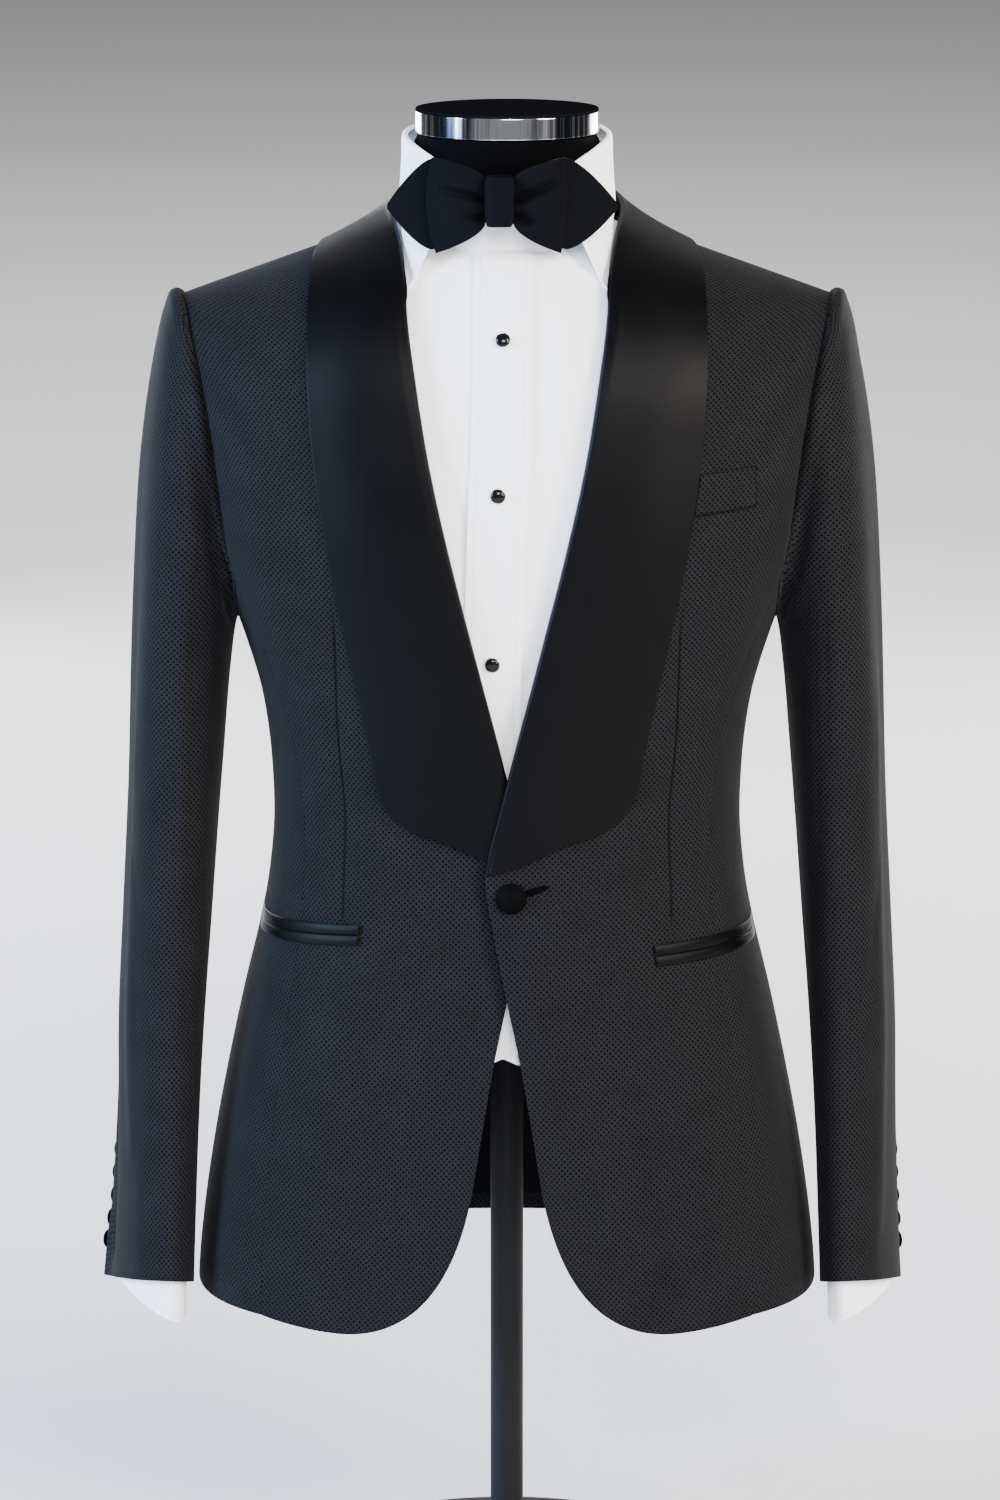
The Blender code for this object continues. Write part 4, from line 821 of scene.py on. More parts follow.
def front_points(side):
    """A front from its free edge to the side seam, and its dart's line as a mask for painted shade."""
    level = panel_levels(140, 40)
    low = PANEL_LOW
    drop = 1 - np.minimum((level - low) / (CORNER_TOP - low), 1)
    inner_level = level + (CORNER_START[1] - low) * drop
    inner_x, outer_x = front_inner_edge(inner_level), seam_x(level, "front")
    dart = (DART.at("x", level) - inner_x) / (outer_x - inner_x)
    to_dart, from_dart = gathered(44, 1.5), 1 - gathered(36, 1.4)[::-1]
    share = np.concatenate([dart * to_dart, dart + (1 - dart) * from_dart[1:]], axis=1)
    x = inner_x + (outer_x - inner_x) * share
    at = inner_level + (level - inner_level) * share
    ease = 1 - ramp(level, low, CORNER_TOP)
    start_x = CORNER_START[0] + (seam_x(low, "front") - CORNER_START[0]) * share
    start = CORNER_START[1] + (low - CORNER_START[1]) * share
    hem_x, hem_z = hem_height(share)
    x, at = x + (hem_x - start_x) * ease, np.minimum(at + (hem_z - start) * ease, SHOULDER_TIP - 1e-5)
    out = front_lift(x, at) if side > 0 else np.zeros_like(x)
    points = off_body(x, at, out)
    points[-1, :, 1] = -SEAM_GAP / 2
    soft = ramp(level, *SHOULDER_SOFT) * (1 - ramp(share, 0.93, 1.0))
    points = mix(points, eased(points, SHOULDER_ROWS), soft)
    calm = ramp(1 - share, 0.0, 0.05) * ramp(level, 0.0, 0.1)
    relief = front_relief(x, at, side) * calm - 0.0006 * dart_valley(x, at, 0.0009)
    return relieved(points, relief, trunk), dart_valley(x, at, 0.0011)


def side_points():
    """The side panel, up to the armhole's rounded bottom."""
    last = 0.620
    level = np.concatenate([np.linspace(PANEL_LOW, last, 84), np.linspace(last, ARMHOLE_CORNER, 18)[1:]])
    level = level[:, None]
    across = row_of(0.0, 1.0, 30)
    top = ARMHOLE_BOTTOM + (ARMHOLE_CORNER - ARMHOLE_BOTTOM) * np.abs(across * 2 - 1) ** 2.2
    at = np.where(level > last, last + (level - last) * (top - last) / (ARMHOLE_CORNER - last), level)
    hem = HEM_FRONT_SEAM + (HEM_BACK_SEAM - HEM_FRONT_SEAM) * across
    at = at + to_hem(level, hem)
    low, high = seam_angle(at, "front") + SEAM_TRIM, seam_angle(at, "back") - SEAM_TRIM
    points = body_round(low + (high - low) * across, at)
    calm = np.sin(math.pi * across) ** 0.7
    relief = jacket_folds(across * SIDE_WIDTH, at, SIDE_FOLDS) * calm
    return relieved(points, relief, trunk)


BACK_NECK_SHARE = 0.35
BACK_NECK_HEIGHT = 0.9255


def to_neckline(x, level, share, tip_x, neck):
    """Raises the rows of a panel so that its top runs along the neckline, then the shoulder seam."""
    neck_share, neck_radius, neck_height, neck_inset = neck
    rise = ramp(level, 0.720, SHOULDER_TIP)
    inside = np.clip(share / neck_share, 0, 1)
    outside = (share - neck_share) / (1 - neck_share)
    in_neck = share <= neck_share
    top_x = np.where(
        in_neck,
        neck_radius * np.sin(inside * math.pi / 2),
        neck_radius + (tip_x - neck_radius) * outside,
    )
    neck_z = neck_height + (ridge(neck_radius) - neck_inset - neck_height) * inside**2.4
    in_level = level_of(neck_radius * np.sin(inside * math.pi / 2), neck_z, neck_inset)
    top_level = np.where(in_neck, in_level, SHOULDER_TIP)
    at = np.minimum(level + (top_level - SHOULDER_TIP) * rise, SHOULDER_TIP - 1e-5)
    return x + (top_x - tip_x * share) * rise, at


def back_points(side):
    """Half of the back, from the hem to the shoulder seam and the back neckline."""
    neck = (BACK_NECK_SHARE, NECK_RADIUS, BACK_NECK_HEIGHT, 0.0)
    level = panel_levels(120, 34)
    share = row_of(0.0, 1.0, 64)
    tip_x = seam_x(SHOULDER_TIP, "back")
    x, at = to_neckline(seam_x(level, "back") * share, level, share, tip_x, neck)
    hem = HEM_BACK + (HEM_BACK_SEAM - HEM_BACK) * share
    at = at + to_hem(level, hem)
    points = body(np.maximum(x, SEAM_GAP / 2), at, True)
    points[-1, share[0] >= BACK_NECK_SHARE, 1] = SEAM_GAP / 2
    shift = 0.0 if side > 0 else 0.008
    calm = ramp(share, 0.0, 0.10) * ramp(1 - share, 0.0, 0.06)
    calm = calm * (1 - ramp(level, 0.84, 0.87))
    relief = jacket_folds(x + shift, at + shift, BACK_FOLDS) * calm
    return relieved(points, relief, trunk)


# ------------------------------------------------------------------ shawl collar

FOLD_POINTS, LEAF_POINTS = 9, 26
LAPEL_GAP = 0.0005


def shawl_points(side):
    """The shawl from the lapel's lower end to the centre back, from under its fold to its edge."""
    station = np.concatenate([np.linspace(0.0, 1.0, 40), np.linspace(1.0, 13.0, 210)[1:]])
    fold, edge = SHAWL.place("fold", station), SHAWL.place("edge", station)
    stand = SHAWL.at("stand", station)
    low, shoulder = ramp(station, 1.0, 3.0), ramp(station, 5.0, 7.0)
    flat = LAPEL_GAP + 0.0011 * shoulder + 0.0016 * (1 - ramp(station, 1.0, 2.6)) + SATIN_WALL
    radius = 0.0021 + 0.0007 * low + 0.0006 * stand
    level, back, _ = nearest(fold)
    base = mix(body(fold[:, 0], level, back), fold, stand)
    up = unit(mix(outward(fold[:, 0], level, back), UPRIGHT, stand))
    reach = edge - base
    over = unit(reach - up * dot(reach, up)[:, None])
    end_level, end_back, _ = nearest(edge)
    end = off_body(edge[:, 0], end_level, flat, end_back)
    depth = (0.0022 + 0.0010 * low) * (1 - stand) + 0.0270 * stand
    floor = -0.0034 + 0.0040 * ramp(station, 5.0, 8.0)
    under = clear_of_body(base - up * depth[:, None], floor)
    section = [mix(under, base, share) for share in (0.0, 0.35, 0.7)]
    last = np.radians(90 + 45 * stand)
    for i in range(FOLD_POINTS):
        turn = last * i / (FOLD_POINTS - 1)
        section.append(base + over * (radius * (1 - np.cos(turn)))[:, None])
        section[-1] += up * (radius * np.sin(turn))[:, None]
    start = section[-1]
    roll = 0.0016 * low * (1 - stand)
    shares = [*np.linspace(0.0, 1.0, LEAF_POINTS)[1:-1], 0.985, 1.0]
    belly = 0.0016 * low * (1 - stand)
    for share in shares:
        point = mix(start, end, share)
        point += over * (0.0030 * stand * math.sin(math.pi * share))[:, None]
        lift = flat + roll * (1 - share) ** 2 + belly * math.sin(math.pi * share) ** 1.5
        section.append(clear_of_body(point, lift))
    points = np.stack(section, axis=1)
    soft = ramp(points[..., 2], *SHOULDER_SOFT) * (1 - ramp(station, 12.0, 12.6))[:, None]
    points = mix(points, eased(points, SHOULDER_ROWS), soft)
    if side > 0:
        x, z = points[..., 0], points[..., 2]
        lift = front_lift(x, z)
        points = points + outward(x, nearest(points)[0], False) * lift[..., None]
    return points


# ------------------------------------------------------------------ sleeves


def armhole_loop(which):
    """Points of the armhole from the shoulder tip to the underarm, down its front or back."""
    level = ARMHOLE_CORNER + (SHOULDER_TIP - ARMHOLE_CORNER) * np.linspace(1.0, 0.0, 60)
    x = BODY.at("half_width", level) * SEAMS.at(which, level)
    down = body(x, level, which == "back")
    corner = seam_angle(ARMHOLE_CORNER, which)
    share = np.linspace(0.0, 1.0, 30)[1:]
    level = ARMHOLE_BOTTOM + (ARMHOLE_CORNER - ARMHOLE_BOTTOM) * (1 - share) ** 2.2
    return np.concatenate([down, body_round(corner + (math.pi / 2 - corner) * share, level)])


def along(loop, share):
    """Points at shares of a polyline's length."""
    lengths = np.concatenate([[0.0], np.cumsum(np.linalg.norm(np.diff(loop, axis=0), axis=1))])
    goal = share * lengths[-1]
    return np.stack([np.interp(goal, lengths, loop[:, i]) for i in range(3)], axis=-1)


def plain_ring(angle, station):
    """Points of sleeve sections: 0 degrees outside, 90 in front, 180 inside, -90 behind."""
    turn = np.radians(angle)
    value = {name: SLEEVE.at(name, station) for name in SLEEVE.columns}
    wide, high = value["outer_x"] - value["inner_x"], value["outer_z"] - value["inner_z"]
    x = value["inner_x"] + wide * (1 + np.cos(turn)) / 2 - value["sway"] * np.sin(turn)
    z = value["inner_z"] + high * (1 + np.cos(turn)) / 2 + value["hang"] * np.sin(turn)
    return points_of(x, value["centre_y"] - value["half_depth"] * np.sin(turn), z)


ARMHOLES = {which: armhole_loop(which) for which in ("front", "back")}
SLEEVE_SEAM = 0.0002
HEAD_BLEND = 3.0


def sleeve_point(angle, station):
    angle, station = paired(angle, station)
    angle = (angle + 180) % 360 - 180
    share = np.abs(angle) / 180
    front = (angle >= 0)[..., None]
    hole = np.where(front, along(ARMHOLES["front"], share), along(ARMHOLES["back"], share))
    blend = np.maximum(1 - station / HEAD_BLEND, 0.0)[..., None] ** 1.5
    ring = plain_ring(angle, station) + (hole - plain_ring(angle, 0.0 * station)) * blend
    return ring + np.array((SLEEVE_SEAM, 0.0, 0.0))


def sleeve_outward(angle, station):
    """The sleeve's normals, pointing out of it."""
    around = sleeve_point(angle + 1.5, station) - sleeve_point(angle - 1.5, station)
    lower, higher = np.asarray(station) + 0.08, np.maximum(np.asarray(station) - 0.08, 0.0)
    return unit(np.cross(around, sleeve_point(angle, lower) - sleeve_point(angle, higher)))


def sleeve_relief(angle, station, points, side):
    """Folds of a sleeve, its full head, the hollow under the arm and the ridge down its front."""
    angle = (angle + 180) % 360 - 180
    folds = LEFT_SLEEVE_FOLDS if side > 0 else RIGHT_SLEEVE_FOLDS
    relief = jacket_folds(angle / 100, points[..., 2], folds)
    relief = relief * ramp(station, 0.6, 1.8) * (1 - 0.7 * ramp(station, 9.6, 10.0))
    head = ramp(np.cos(np.radians(angle)), -0.1, 0.5)
    relief = relief + 0.0022 * head * hump(station, 0.42, 0.34) * ramp(station, 0.0, 0.12)
    relief = relief + 0.0016 * hump(angle, 48.0, 20.0) * ramp(station, 2.5, 5.0)
    hollow = hump(angle, 134.0, 34.0) * hump(station, 0.9, 0.80) * ramp(station, 0.0, 0.5)
    relief = relief - 0.0068 * hollow
    flare = hump(angle, -58.0, 26.0) * ramp(station, 9.4, 10.05)
    return relief + (0.0090 if side < 0 else 0.0018) * flare


def sleeve_half(side, upper):
    """One half of a two-piece sleeve between its two seams."""
    station = np.concatenate([np.linspace(0.0, 1.0, 22), np.linspace(1.0, SLEEVE_HEM, 132)[1:]])
    station = station[:, None]
    hind = HIND_SEAM.at("angle", station)
    low, high = (hind, FRONT_SEAM_ANGLE) if upper else (FRONT_SEAM_ANGLE, 360 + hind)
    trim = 0.06
    share = row_of(0.0, 1.0, 78 if upper else 42)
    angle = low + trim + (high - low - 2 * trim) * share
    points = sleeve_point(angle, station)
    relief = sleeve_relief(angle, station, points, side)
    if upper:
        vent = ramp(station, 8.9, 9.05) * (1 - ramp(angle - hind, 20.0, 30.0))
        relief = relief + 0.0007 * vent
    points = relieved(points, relief, arm)
    inside = unit(points_of(0.0, -points[:1, :, 1], 0.77 - points[:1, :, 2])) * 0.0016
    tucked = points[:1] + inside - np.array((0.0030, 0.0, 0.0))
    return np.concatenate([tucked, mix(tucked, points[:1], 0.5), points])


# ------------------------------------------------------------------ shirt

SHIRT_AT_CHEST = 0.0080
SHIRT_AT_SHOULDER = CLOTH_WALL + 0.0008
SHIRT_NECK = 0.0660
SHIRT_NECK_SHARE = 0.36
SHIRT_SIDE_TOP = 0.679
SHIRT_LOW = 0.392
SHIRT_SEAM, SHIRT_ARMHOLE = 0.9985, 0.937  # shares of its half width
PLACKET_HALF = 0.0190
PLACKET_OUT = SHIRT_WALL + 0.0006


def shirt_inset(level):
    """How far the shirt lies inside the jacket's outer face: least on the shoulder seam."""
    spare = SHIRT_AT_CHEST - SHIRT_AT_SHOULDER
    return SHIRT_AT_SHOULDER + spare * np.maximum(np.cos(turn_of(level)), 0.0) ** 1.3


def shirt_outer_x(level):
    """The shirt's side seam, then its armhole."""
    free = ramp(level, SHIRT_SIDE_TOP - 0.02, SHIRT_SIDE_TOP + 0.05)
    share = SHIRT_SEAM - (SHIRT_SEAM - SHIRT_ARMHOLE) * free
    return (BODY.at("half_width", level) - shirt_inset(level)) * share


def placket_x(z):
    """Centre line of the shirt's front."""
    return -0.0015 - 0.0330 * np.maximum(0.900 - z, 0.0) + 0.0240 * np.maximum(0.650 - z, 0.0)


SHIRT_FRONT_NECK = (SHIRT_NECK_SHARE, SHIRT_NECK, 0.9135, 0.0060)
SHIRT_BACK_NECK = (SHIRT_NECK_SHARE, SHIRT_NECK, 0.9240, 0.0055)


def shirt_surface(level, share, back, middle):
    """Half the shirt: share 0 is its middle line, 1 its side seam or armhole."""
    tip_x = shirt_outer_x(SHOULDER_TIP)
    neck = SHIRT_BACK_NECK if back else SHIRT_FRONT_NECK
    x, at = to_neckline(shirt_outer_x(level) * share, level, share, tip_x, neck)
    x = x + middle * (1 - share)
    points = body(x, at, back, shirt_inset(at))
    points[-1, share[0] >= SHIRT_NECK_SHARE, 1] = SEAM_GAP if back else -SEAM_GAP
    return points


def shirt_levels():
    return panel_levels(90, 30, SHIRT_LOW)


def hem_notch(x, level):
    """How far the shirt's lower edge rises where its two fronts part."""
    return 0.0046 * np.maximum(1 - np.abs(x + 0.0028) / 0.0100, 0.0) * (1 - ramp(level, SHIRT_LOW, 0.43))


def shirt_front_points(side):
    level = shirt_levels()
    share = row_of(0.0, 1.0, 56)
    points = shirt_surface(level, share, False, side * placket_x(level) + SEAM_GAP)
    x, z = points[..., 0] * side, points[..., 2]
    folds = (
        (((0.030, 0.900), (0.040, 0.840), (0.036, 0.770)), 0.0110, 0.0020),
        (((0.048, 0.870), (0.044, 0.800), (0.030, 0.720)), 0.0080, -0.0014),
        (((0.020, 0.780), (0.030, 0.700), (0.022, 0.620)), 0.0100, -0.0014),
        (((-0.030, 0.895), (-0.038, 0.830), (-0.036, 0.760)), 0.0100, 0.0018),
        (((-0.040, 0.800), (-0.030, 0.740), (-0.024, 0.690)), 0.0080, -0.0012),
        (((-0.024, 0.740), (-0.028, 0.680), (-0.018, 0.610)), 0.0100, 0.0012),
    )
    points = relieved(points, soft_folds(x, z, folds) * ramp(share, 0.0, 0.08), trunk)
    points[..., 2] += hem_notch(side * points[..., 0], level)
    return worn(points, side)


def shirt_back_points():
    level = shirt_levels()
    share = row_of(0.0, 1.0, 34)
    half = shirt_surface(level, share, True, 0.0)
    return np.concatenate([mirrored(half)[:, :0:-1], half], axis=1)


def placket_points():
    """The placket, standing a little off the fronts."""
    level = shirt_levels()
    top = level_of(0.0, SHIRT_FRONT_NECK[2], SHIRT_FRONT_NECK[3])
    at = level + (top - SHOULDER_TIP) * ramp(level, 0.720, SHOULDER_TIP)
    across = row_of(-PLACKET_HALF, PLACKET_HALF, 22)
    x = placket_x(level) + across
    puff = 0.0024 * hump(at, 0.868, 0.008) * hump(across, 0.002, 0.012)
    out = PLACKET_OUT + puff
    points = body(x, at, False, shirt_inset(at)) + outward(x, at) * out[..., None]
    points[..., 2] += hem_notch(x, level)
    return points


BAND_RADIUS, BAND_BOTTOM, BAND_TOP = 0.0641, 0.9095, 0.9555


def band_points():
    """The collar band round the neck."""
    share = column_of(0.0, 1.0, 9)
    angle = np.radians(np.linspace(0.0, 360.0, 97))[None, :]
    rear = (1 - np.cos(angle)) / 2
    low = BAND_BOTTOM + 0.0190 * rear + 0.0095 * np.sin(angle) ** 2
    high = BAND_TOP + 0.0290 * rear**0.6
    x, y = BAND_RADIUS * np.sin(angle), NECK_Y - BAND_RADIUS * np.cos(angle)
    return points_of(x, y, low + (high - low) * share)


LEAF = Table(
    ("station", "angle", "fold_z", "edge_x", "edge_y", "edge_z"),
    (
        (0.0, 26.0, 0.9605, 0.0634, -0.0795, 0.8900),
        (1.0, 35.0, 0.9665, 0.0652, -0.0680, 0.9010),
        (2.0, 48.0, 0.9735, 0.0676, -0.0520, 0.9150),
        (3.0, 67.0, 0.9800, 0.0686, -0.0300, 0.9300),
        (4.0, 90.0, 0.9840, 0.0690, -0.0080, 0.9400),
        (5.0, 135.0, 0.9880, 0.0490, 0.0415, 0.9430),
        (6.0, 180.0, 0.9900, 0.0000, 0.0612, 0.9440),
    ),
)
LEAF_ROLL = 0.0020


def leaf_points():
    """The turned-down collar leaf from the right front edge round to the left one."""
    station = np.linspace(0.0, 6.0, 90)
    angle, top = np.radians(LEAF.at("angle", station)), LEAF.at("fold_z", station)
    ring = points_of(np.sin(angle), -np.cos(angle), 0.0 * angle)
    base = ring * 0.0660 + points_of(0.0, NECK_Y, top - LEAF_ROLL)
    edge = LEAF.place("edge", station)
    section = []
    for turn in np.linspace(0.0, math.pi, 9):
        section.append(base - ring * LEAF_ROLL * math.cos(turn) + UPRIGHT * LEAF_ROLL * math.sin(turn))
    start = section[-1]
    for share in np.linspace(0.0, 1.0, 20)[1:]:
        point = mix(start, edge, share)
        planar = np.hypot(point[:, 0], point[:, 1] - NECK_Y)
        grow = np.maximum(0.0684 / planar, 1.0)
        point = points_of(point[:, 0] * grow, NECK_Y + (point[:, 1] - NECK_Y) * grow, point[:, 2])
        spare = LEAF_WALL + 0.0006 - shirt_inset(nearest(point)[0])
        section.append(clear_of_body(point, spare))
    left = np.stack(section, axis=1)
    return np.concatenate([mirrored(left), left[-2::-1]])


def shirt_armhole(which):
    """The shirt's armhole from the shoulder tip to the underarm, down its front or back."""
    level = np.linspace(SHOULDER_TIP, SHIRT_SIDE_TOP, 60)
    points = body(shirt_outer_x(level), level, which == "back", shirt_inset(level))
    points[-1, 1] = 0.0
    return points


def shirt_sleeve_points():
    """The shirt's sleeve inside the jacket's, down to its cuff."""
    station = np.concatenate([np.linspace(0.0, 0.7, 8), np.linspace(0.7, 9.8, 40)[1:]])[:, None]
    angle = row_of(-180.0, 180.0, 49)
    share = np.abs(angle) / 180
    front, rear = (along(shirt_armhole(which), share) for which in ("front", "back"))
    hole = np.where((angle >= 0)[..., None], front, rear)
    hole = hole + unit(points_of(0.0, -hole[..., 1], 0.765 - hole[..., 2])) * 0.0008
    hole = hole + np.array((0.0008, 0.0, 0.0))
    inside = sleeve_point(angle, station) - sleeve_outward(angle, station) * SHIRT_SLEEVE_INSET
    return hole + (inside - hole) * ramp(station, 0.0, 0.7)[..., None]


def cuff_points():
    """The cuff inside the jacket sleeve's mouth, its lower edge cut higher on the outer side."""
    height = column_of(CUFF_TOP, CUFF_BOTTOM, 34)
    above = height - HEM_HEIGHT
    station = SLEEVE_HEM - above / np.where(above > 0, STATION_ABOVE_HEM, STATION_BELOW_HEM)
    angle = row_of(-180.0, 180.0, 97)
    points = sleeve_point(angle, station) - sleeve_outward(angle, station) * CUFF_INSET
    slant = CUFF_SLANT * np.clip((CUFF_MIDDLE - height) / (CUFF_MIDDLE - CUFF_BOTTOM), 0, 1)
    lift = slant * np.maximum(points[..., 0] - CUFF_INNER_X, 0.0)
    return points_of(points[..., 0], points[..., 1], height + lift)


# ------------------------------------------------------------------ bow tie

BOW = np.array((-0.0050, -0.0890, 0.9480))
KNOT_HALF_WIDTH, KNOT_HALF_HEIGHT = 0.0097, 0.0163
KNOT_FRONT, KNOT_BACK = -0.0975, -0.0767
BOW_WALL, POINT_WALL = 0.0030, 0.0022

# Pleats run out from the knot: (distance from the knot, height from its middle).
LEFT_PLEATS = (
    (((-0.004, 0.0004), (0.010, 0.0024), (0.024, 0.0062), (0.038, 0.0125)), 0.0027, -0.0050),
    (((-0.004, -0.0070), (0.010, -0.0088), (0.022, -0.0136)), 0.0026, -0.0042),
    (((0.010, 0.0130), (0.024, 0.0170), (0.036, 0.0210)), 0.0050, 0.0012),
)
RIGHT_PLEATS = (
    (((-0.004, 0.0012), (0.010, 0.0022), (0.023, 0.0043), (0.039, 0.0086)), 0.0027, -0.0050),
    (((-0.004, -0.0088), (0.010, -0.0095), (0.024, -0.0098)), 0.0026, -0.0042),
    (((0.010, 0.0120), (0.024, 0.0160), (0.036, 0.0190)), 0.0050, 0.0012),
)
WING_END = {"left": (0.0426, 0.0020, 0.0032), "right": (0.0430, 0.0050, 0.0026)}
WING_HALF, WING_FLARE = 0.0120, 0.0186


def wing_half(share):
    """Half the height of a front wing from the knot to its end."""
    return WING_HALF + WING_FLARE * np.clip(share, 0.0, 1.0) ** 0.47


def wing_points(side):
    """A front wing: a folded ribbon that spreads from the knot, with two deep pleats."""
    start = KNOT_HALF_WIDTH - 0.0012
    tip, belly, lean = WING_END["left" if side > 0 else "right"]
    share = column_of(0.0, 1.0, 60)
    across = row_of(-1.0, 1.0, 76)
    end = tip + belly * (1 - across**2) + lean * (across - 1) / 2
    reach = start + (end - start) * share
    puff = 0.0036 * np.sin(math.pi * np.minimum(share * 1.1, 1.0)) * (1 - 0.5 * across**2)
    rise = across * wing_half(share) - 0.0028 * share
    pleats = soft_folds(reach, rise, LEFT_PLEATS if side > 0 else RIGHT_PLEATS)
    y = BOW[1] - puff + 0.0030 * share**2 - pleats
    return points_of(BOW[0] + side * reach, y, BOW[2] + rise)


def tip_points(side, tip):
    """A back wing: it runs from behind the front wing's corners out to a point."""
    end = WING_END["left" if side > 0 else "right"][0]
    start = KNOT_HALF_WIDTH + 0.012
    share = column_of(0.0, 1.0, 44)
    across = row_of(-1.0, 1.0, 30)
    reach = start + (tip - start) * share
    hidden = wing_half((reach - KNOT_HALF_WIDTH) / (end - KNOT_HALF_WIDTH)) - 0.0016
    beyond = 0.0290 - 0.0275 * (np.maximum(reach - end, 0.0) / (tip - end)) ** 1.5
    z = BOW[2] - 0.0012 - 0.0028 * share + across * np.minimum(hidden, beyond)
    y = BOW[1] + BOW_WALL + 0.0027 + 0.0034 * share**1.6
    return points_of(BOW[0] + side * reach, y, z)


def knot_points():
    """The knot: a ribbon wrapped round, narrower at its foot, with one soft fold down its face."""
    turn = row_of(0.0, 2 * math.pi, 65)
    up = column_of(-1.0, 1.0, 40)
    pinch = (1 - 0.03 * (1 - up)) * (1 - np.abs(up) ** 6 * 0.16)
    c, s = np.cos(turn), np.sin(turn)
    x = KNOT_HALF_WIDTH * pinch * np.sign(c) * np.abs(c) ** 0.55
    deep = (KNOT_BACK - KNOT_FRONT) / 2
    y = (KNOT_FRONT + KNOT_BACK) / 2 - deep * pinch * np.sign(s) * np.abs(s) ** 0.75
    fold = 0.0010 * hump(x, 0.0022 + 0.0012 * up, 0.0012) * (s > 0)
    return points_of(BOW[0] + x, y + fold, BOW[2] + KNOT_HALF_HEIGHT * up)


# ------------------------------------------------------------------ trims

WELT_CORNERS = ((0.1180, 0.7498), (0.1590, 0.7530))
WELT_HEIGHT = 0.0260
WELT_WALL = 0.0014
POCKET_INNER_X = 0.0960
POCKET_END_ANGLE = 86.0
JET_HEIGHT = 0.0068
JET_WALL = 0.0011
POCKETS = {"left": (0.4550, -0.0015), "right": (0.4685, 0.0065)}


def welt_points():
    """The breast pocket's welt, on the left front."""
    (x0, z0), (x1, z1) = WELT_CORNERS
    up = column_of(0.0, 1.0, 24)
    share = row_of(0.0, 1.0, 34)
    z = z0 + (z1 - z0) * share + up * WELT_HEIGHT
    x = x0 + (x1 - x0) * share + (1 - share) * (0.0008 + 0.150 * up * WELT_HEIGHT)
    level = level_of(x, z)
    return off_body(x, level, WELT_WALL + 0.0003 + front_relief(x, level, 1))


def jet_points(low, pocket, side):
    """A satin jet that follows the front round the side, its face a soft rib."""
    inner_z, drop = POCKETS[pocket]
    inner_angle = math.asin((POCKET_INNER_X / BODY.at("half_width", inner_z)) ** (SQUARENESS / 2))
    up = column_of(0.0, 1.0, 16)
    share = row_of(0.0, 1.0, 90)
    angle = inner_angle + (math.radians(POCKET_END_ANGLE) - inner_angle) * share
    level = inner_z - drop * np.sin(share * math.pi / 2) + low + up * JET_HEIGHT
    points = body_round(angle, level)
    plump = 0.0010 * (1 - 0.8 * ramp(share, 0.55, 0.95))
    rib = 0.0003 + plump * np.sin(math.pi * np.clip(up, 0.02, 0.98)) ** 0.6
    relief = front_relief(points[..., 0], points[..., 2], side) * (1 - ramp(share, 0.5, 0.8))
    flat = 1 - 0.8 * ramp(share, 0.82, 1.0)
    return relieved(points, (JET_WALL + rib) * flat + relief, trunk)


# ------------------------------------------------------------------ dress form

FORM_AT_CHEST = 0.0165
FORM_AT_SHOULDER = SHIRT_AT_SHOULDER + SHIRT_WALL + 0.0009


def form_points():
    """The torso from its bottom up over the shoulders, as one closed skin."""
    level = np.concatenate([np.linspace(FORM_BOTTOM, ARCH_START, 50), np.linspace(0.801, 0.8765, 24)])
    level = level[:, None]
    angle = row_of(0.0, 2 * math.pi, 129)
    spare = FORM_AT_CHEST - FORM_AT_SHOULDER
    inset = FORM_AT_SHOULDER + spare * np.maximum(np.cos(turn_of(level)), 0.0) ** 1.3
    free = ramp(level, 0.560, 0.720)
    half = (BODY.at("half_width", level) - inset) * (1 - 0.063 * free) - 0.004 * free
    front = np.cos(angle) >= 0
    s, c = np.abs(np.sin(angle)), np.abs(np.cos(angle))
    x = half * np.sign(np.sin(angle)) * s ** (2 / SQUARENESS)
    depth = half_depth(level, ~front) - inset
    y = depth * c ** (2 / SQUARENESS) * np.cos(turn_of(level)) * np.where(front, -1, 1)
    torso = points_of(x, y, height_at(x, level, inset))
    foot = points_of(0.0 * x[:1], 0.0, FORM_BOTTOM + 0.0 * x[:1])
    return np.concatenate([foot, mix(foot, torso[:1], 0.97), torso])


# ------------------------------------------------------------------ finishes


def linear(colour):
    """The linear colour of an sRGB hex value such as #23262d."""
    parts = [int(colour[i : i + 2], 16) / 255 for i in (1, 3, 5)]
    return tuple(p / 12.92 if p <= 0.04045 else ((p + 0.055) / 1.055) ** 2.4 for p in parts)


def add_node(tree, kind, settings=None, inputs=None):
    """Adds a shader node with its settings; an input is a value, or the output that feeds it."""
    made = tree.nodes.new("ShaderNode" + kind)
    for name, value in (settings or {}).items():
        setattr(made, name, value)
    for name, value in (inputs or {}).items():
        if isinstance(value, bpy.types.NodeSocket):
            tree.links.new(value, made.inputs[name])
        else:
            made.inputs[name].default_value = value
    return made


def start_finish(name, **values):
    """A new material with these values on its shader, and its node tree and shader."""
    made = bpy.data.materials.new(name)
    made.use_nodes = True
    tree = made.node_tree
    shader = tree.nodes["Principled BSDF"]
    for label, value in values.items():
        shader.inputs[label.replace("_", " ")].default_value = value
    return made, tree, shader


def math_node(tree, operation, *values):
    return add_node(tree, "Math", {"operation": operation}, dict(enumerate(values))).outputs[0]


def blend(tree, share, first, second):
    """A colour between two, by share."""
    made = add_node(tree, "Mix", {"data_type": "RGBA"}, {0: share, 6: first, 7: second})
    return made.outputs[2]


def spread_of(tree, value, low, high, to_low=0.0, to_high=1.0):
    """A value mapped from one range to another."""
    made = add_node(tree, "MapRange", None, {0: value, 1: low, 2: high, 3: to_low, 4: to_high})
    return made.outputs[0]


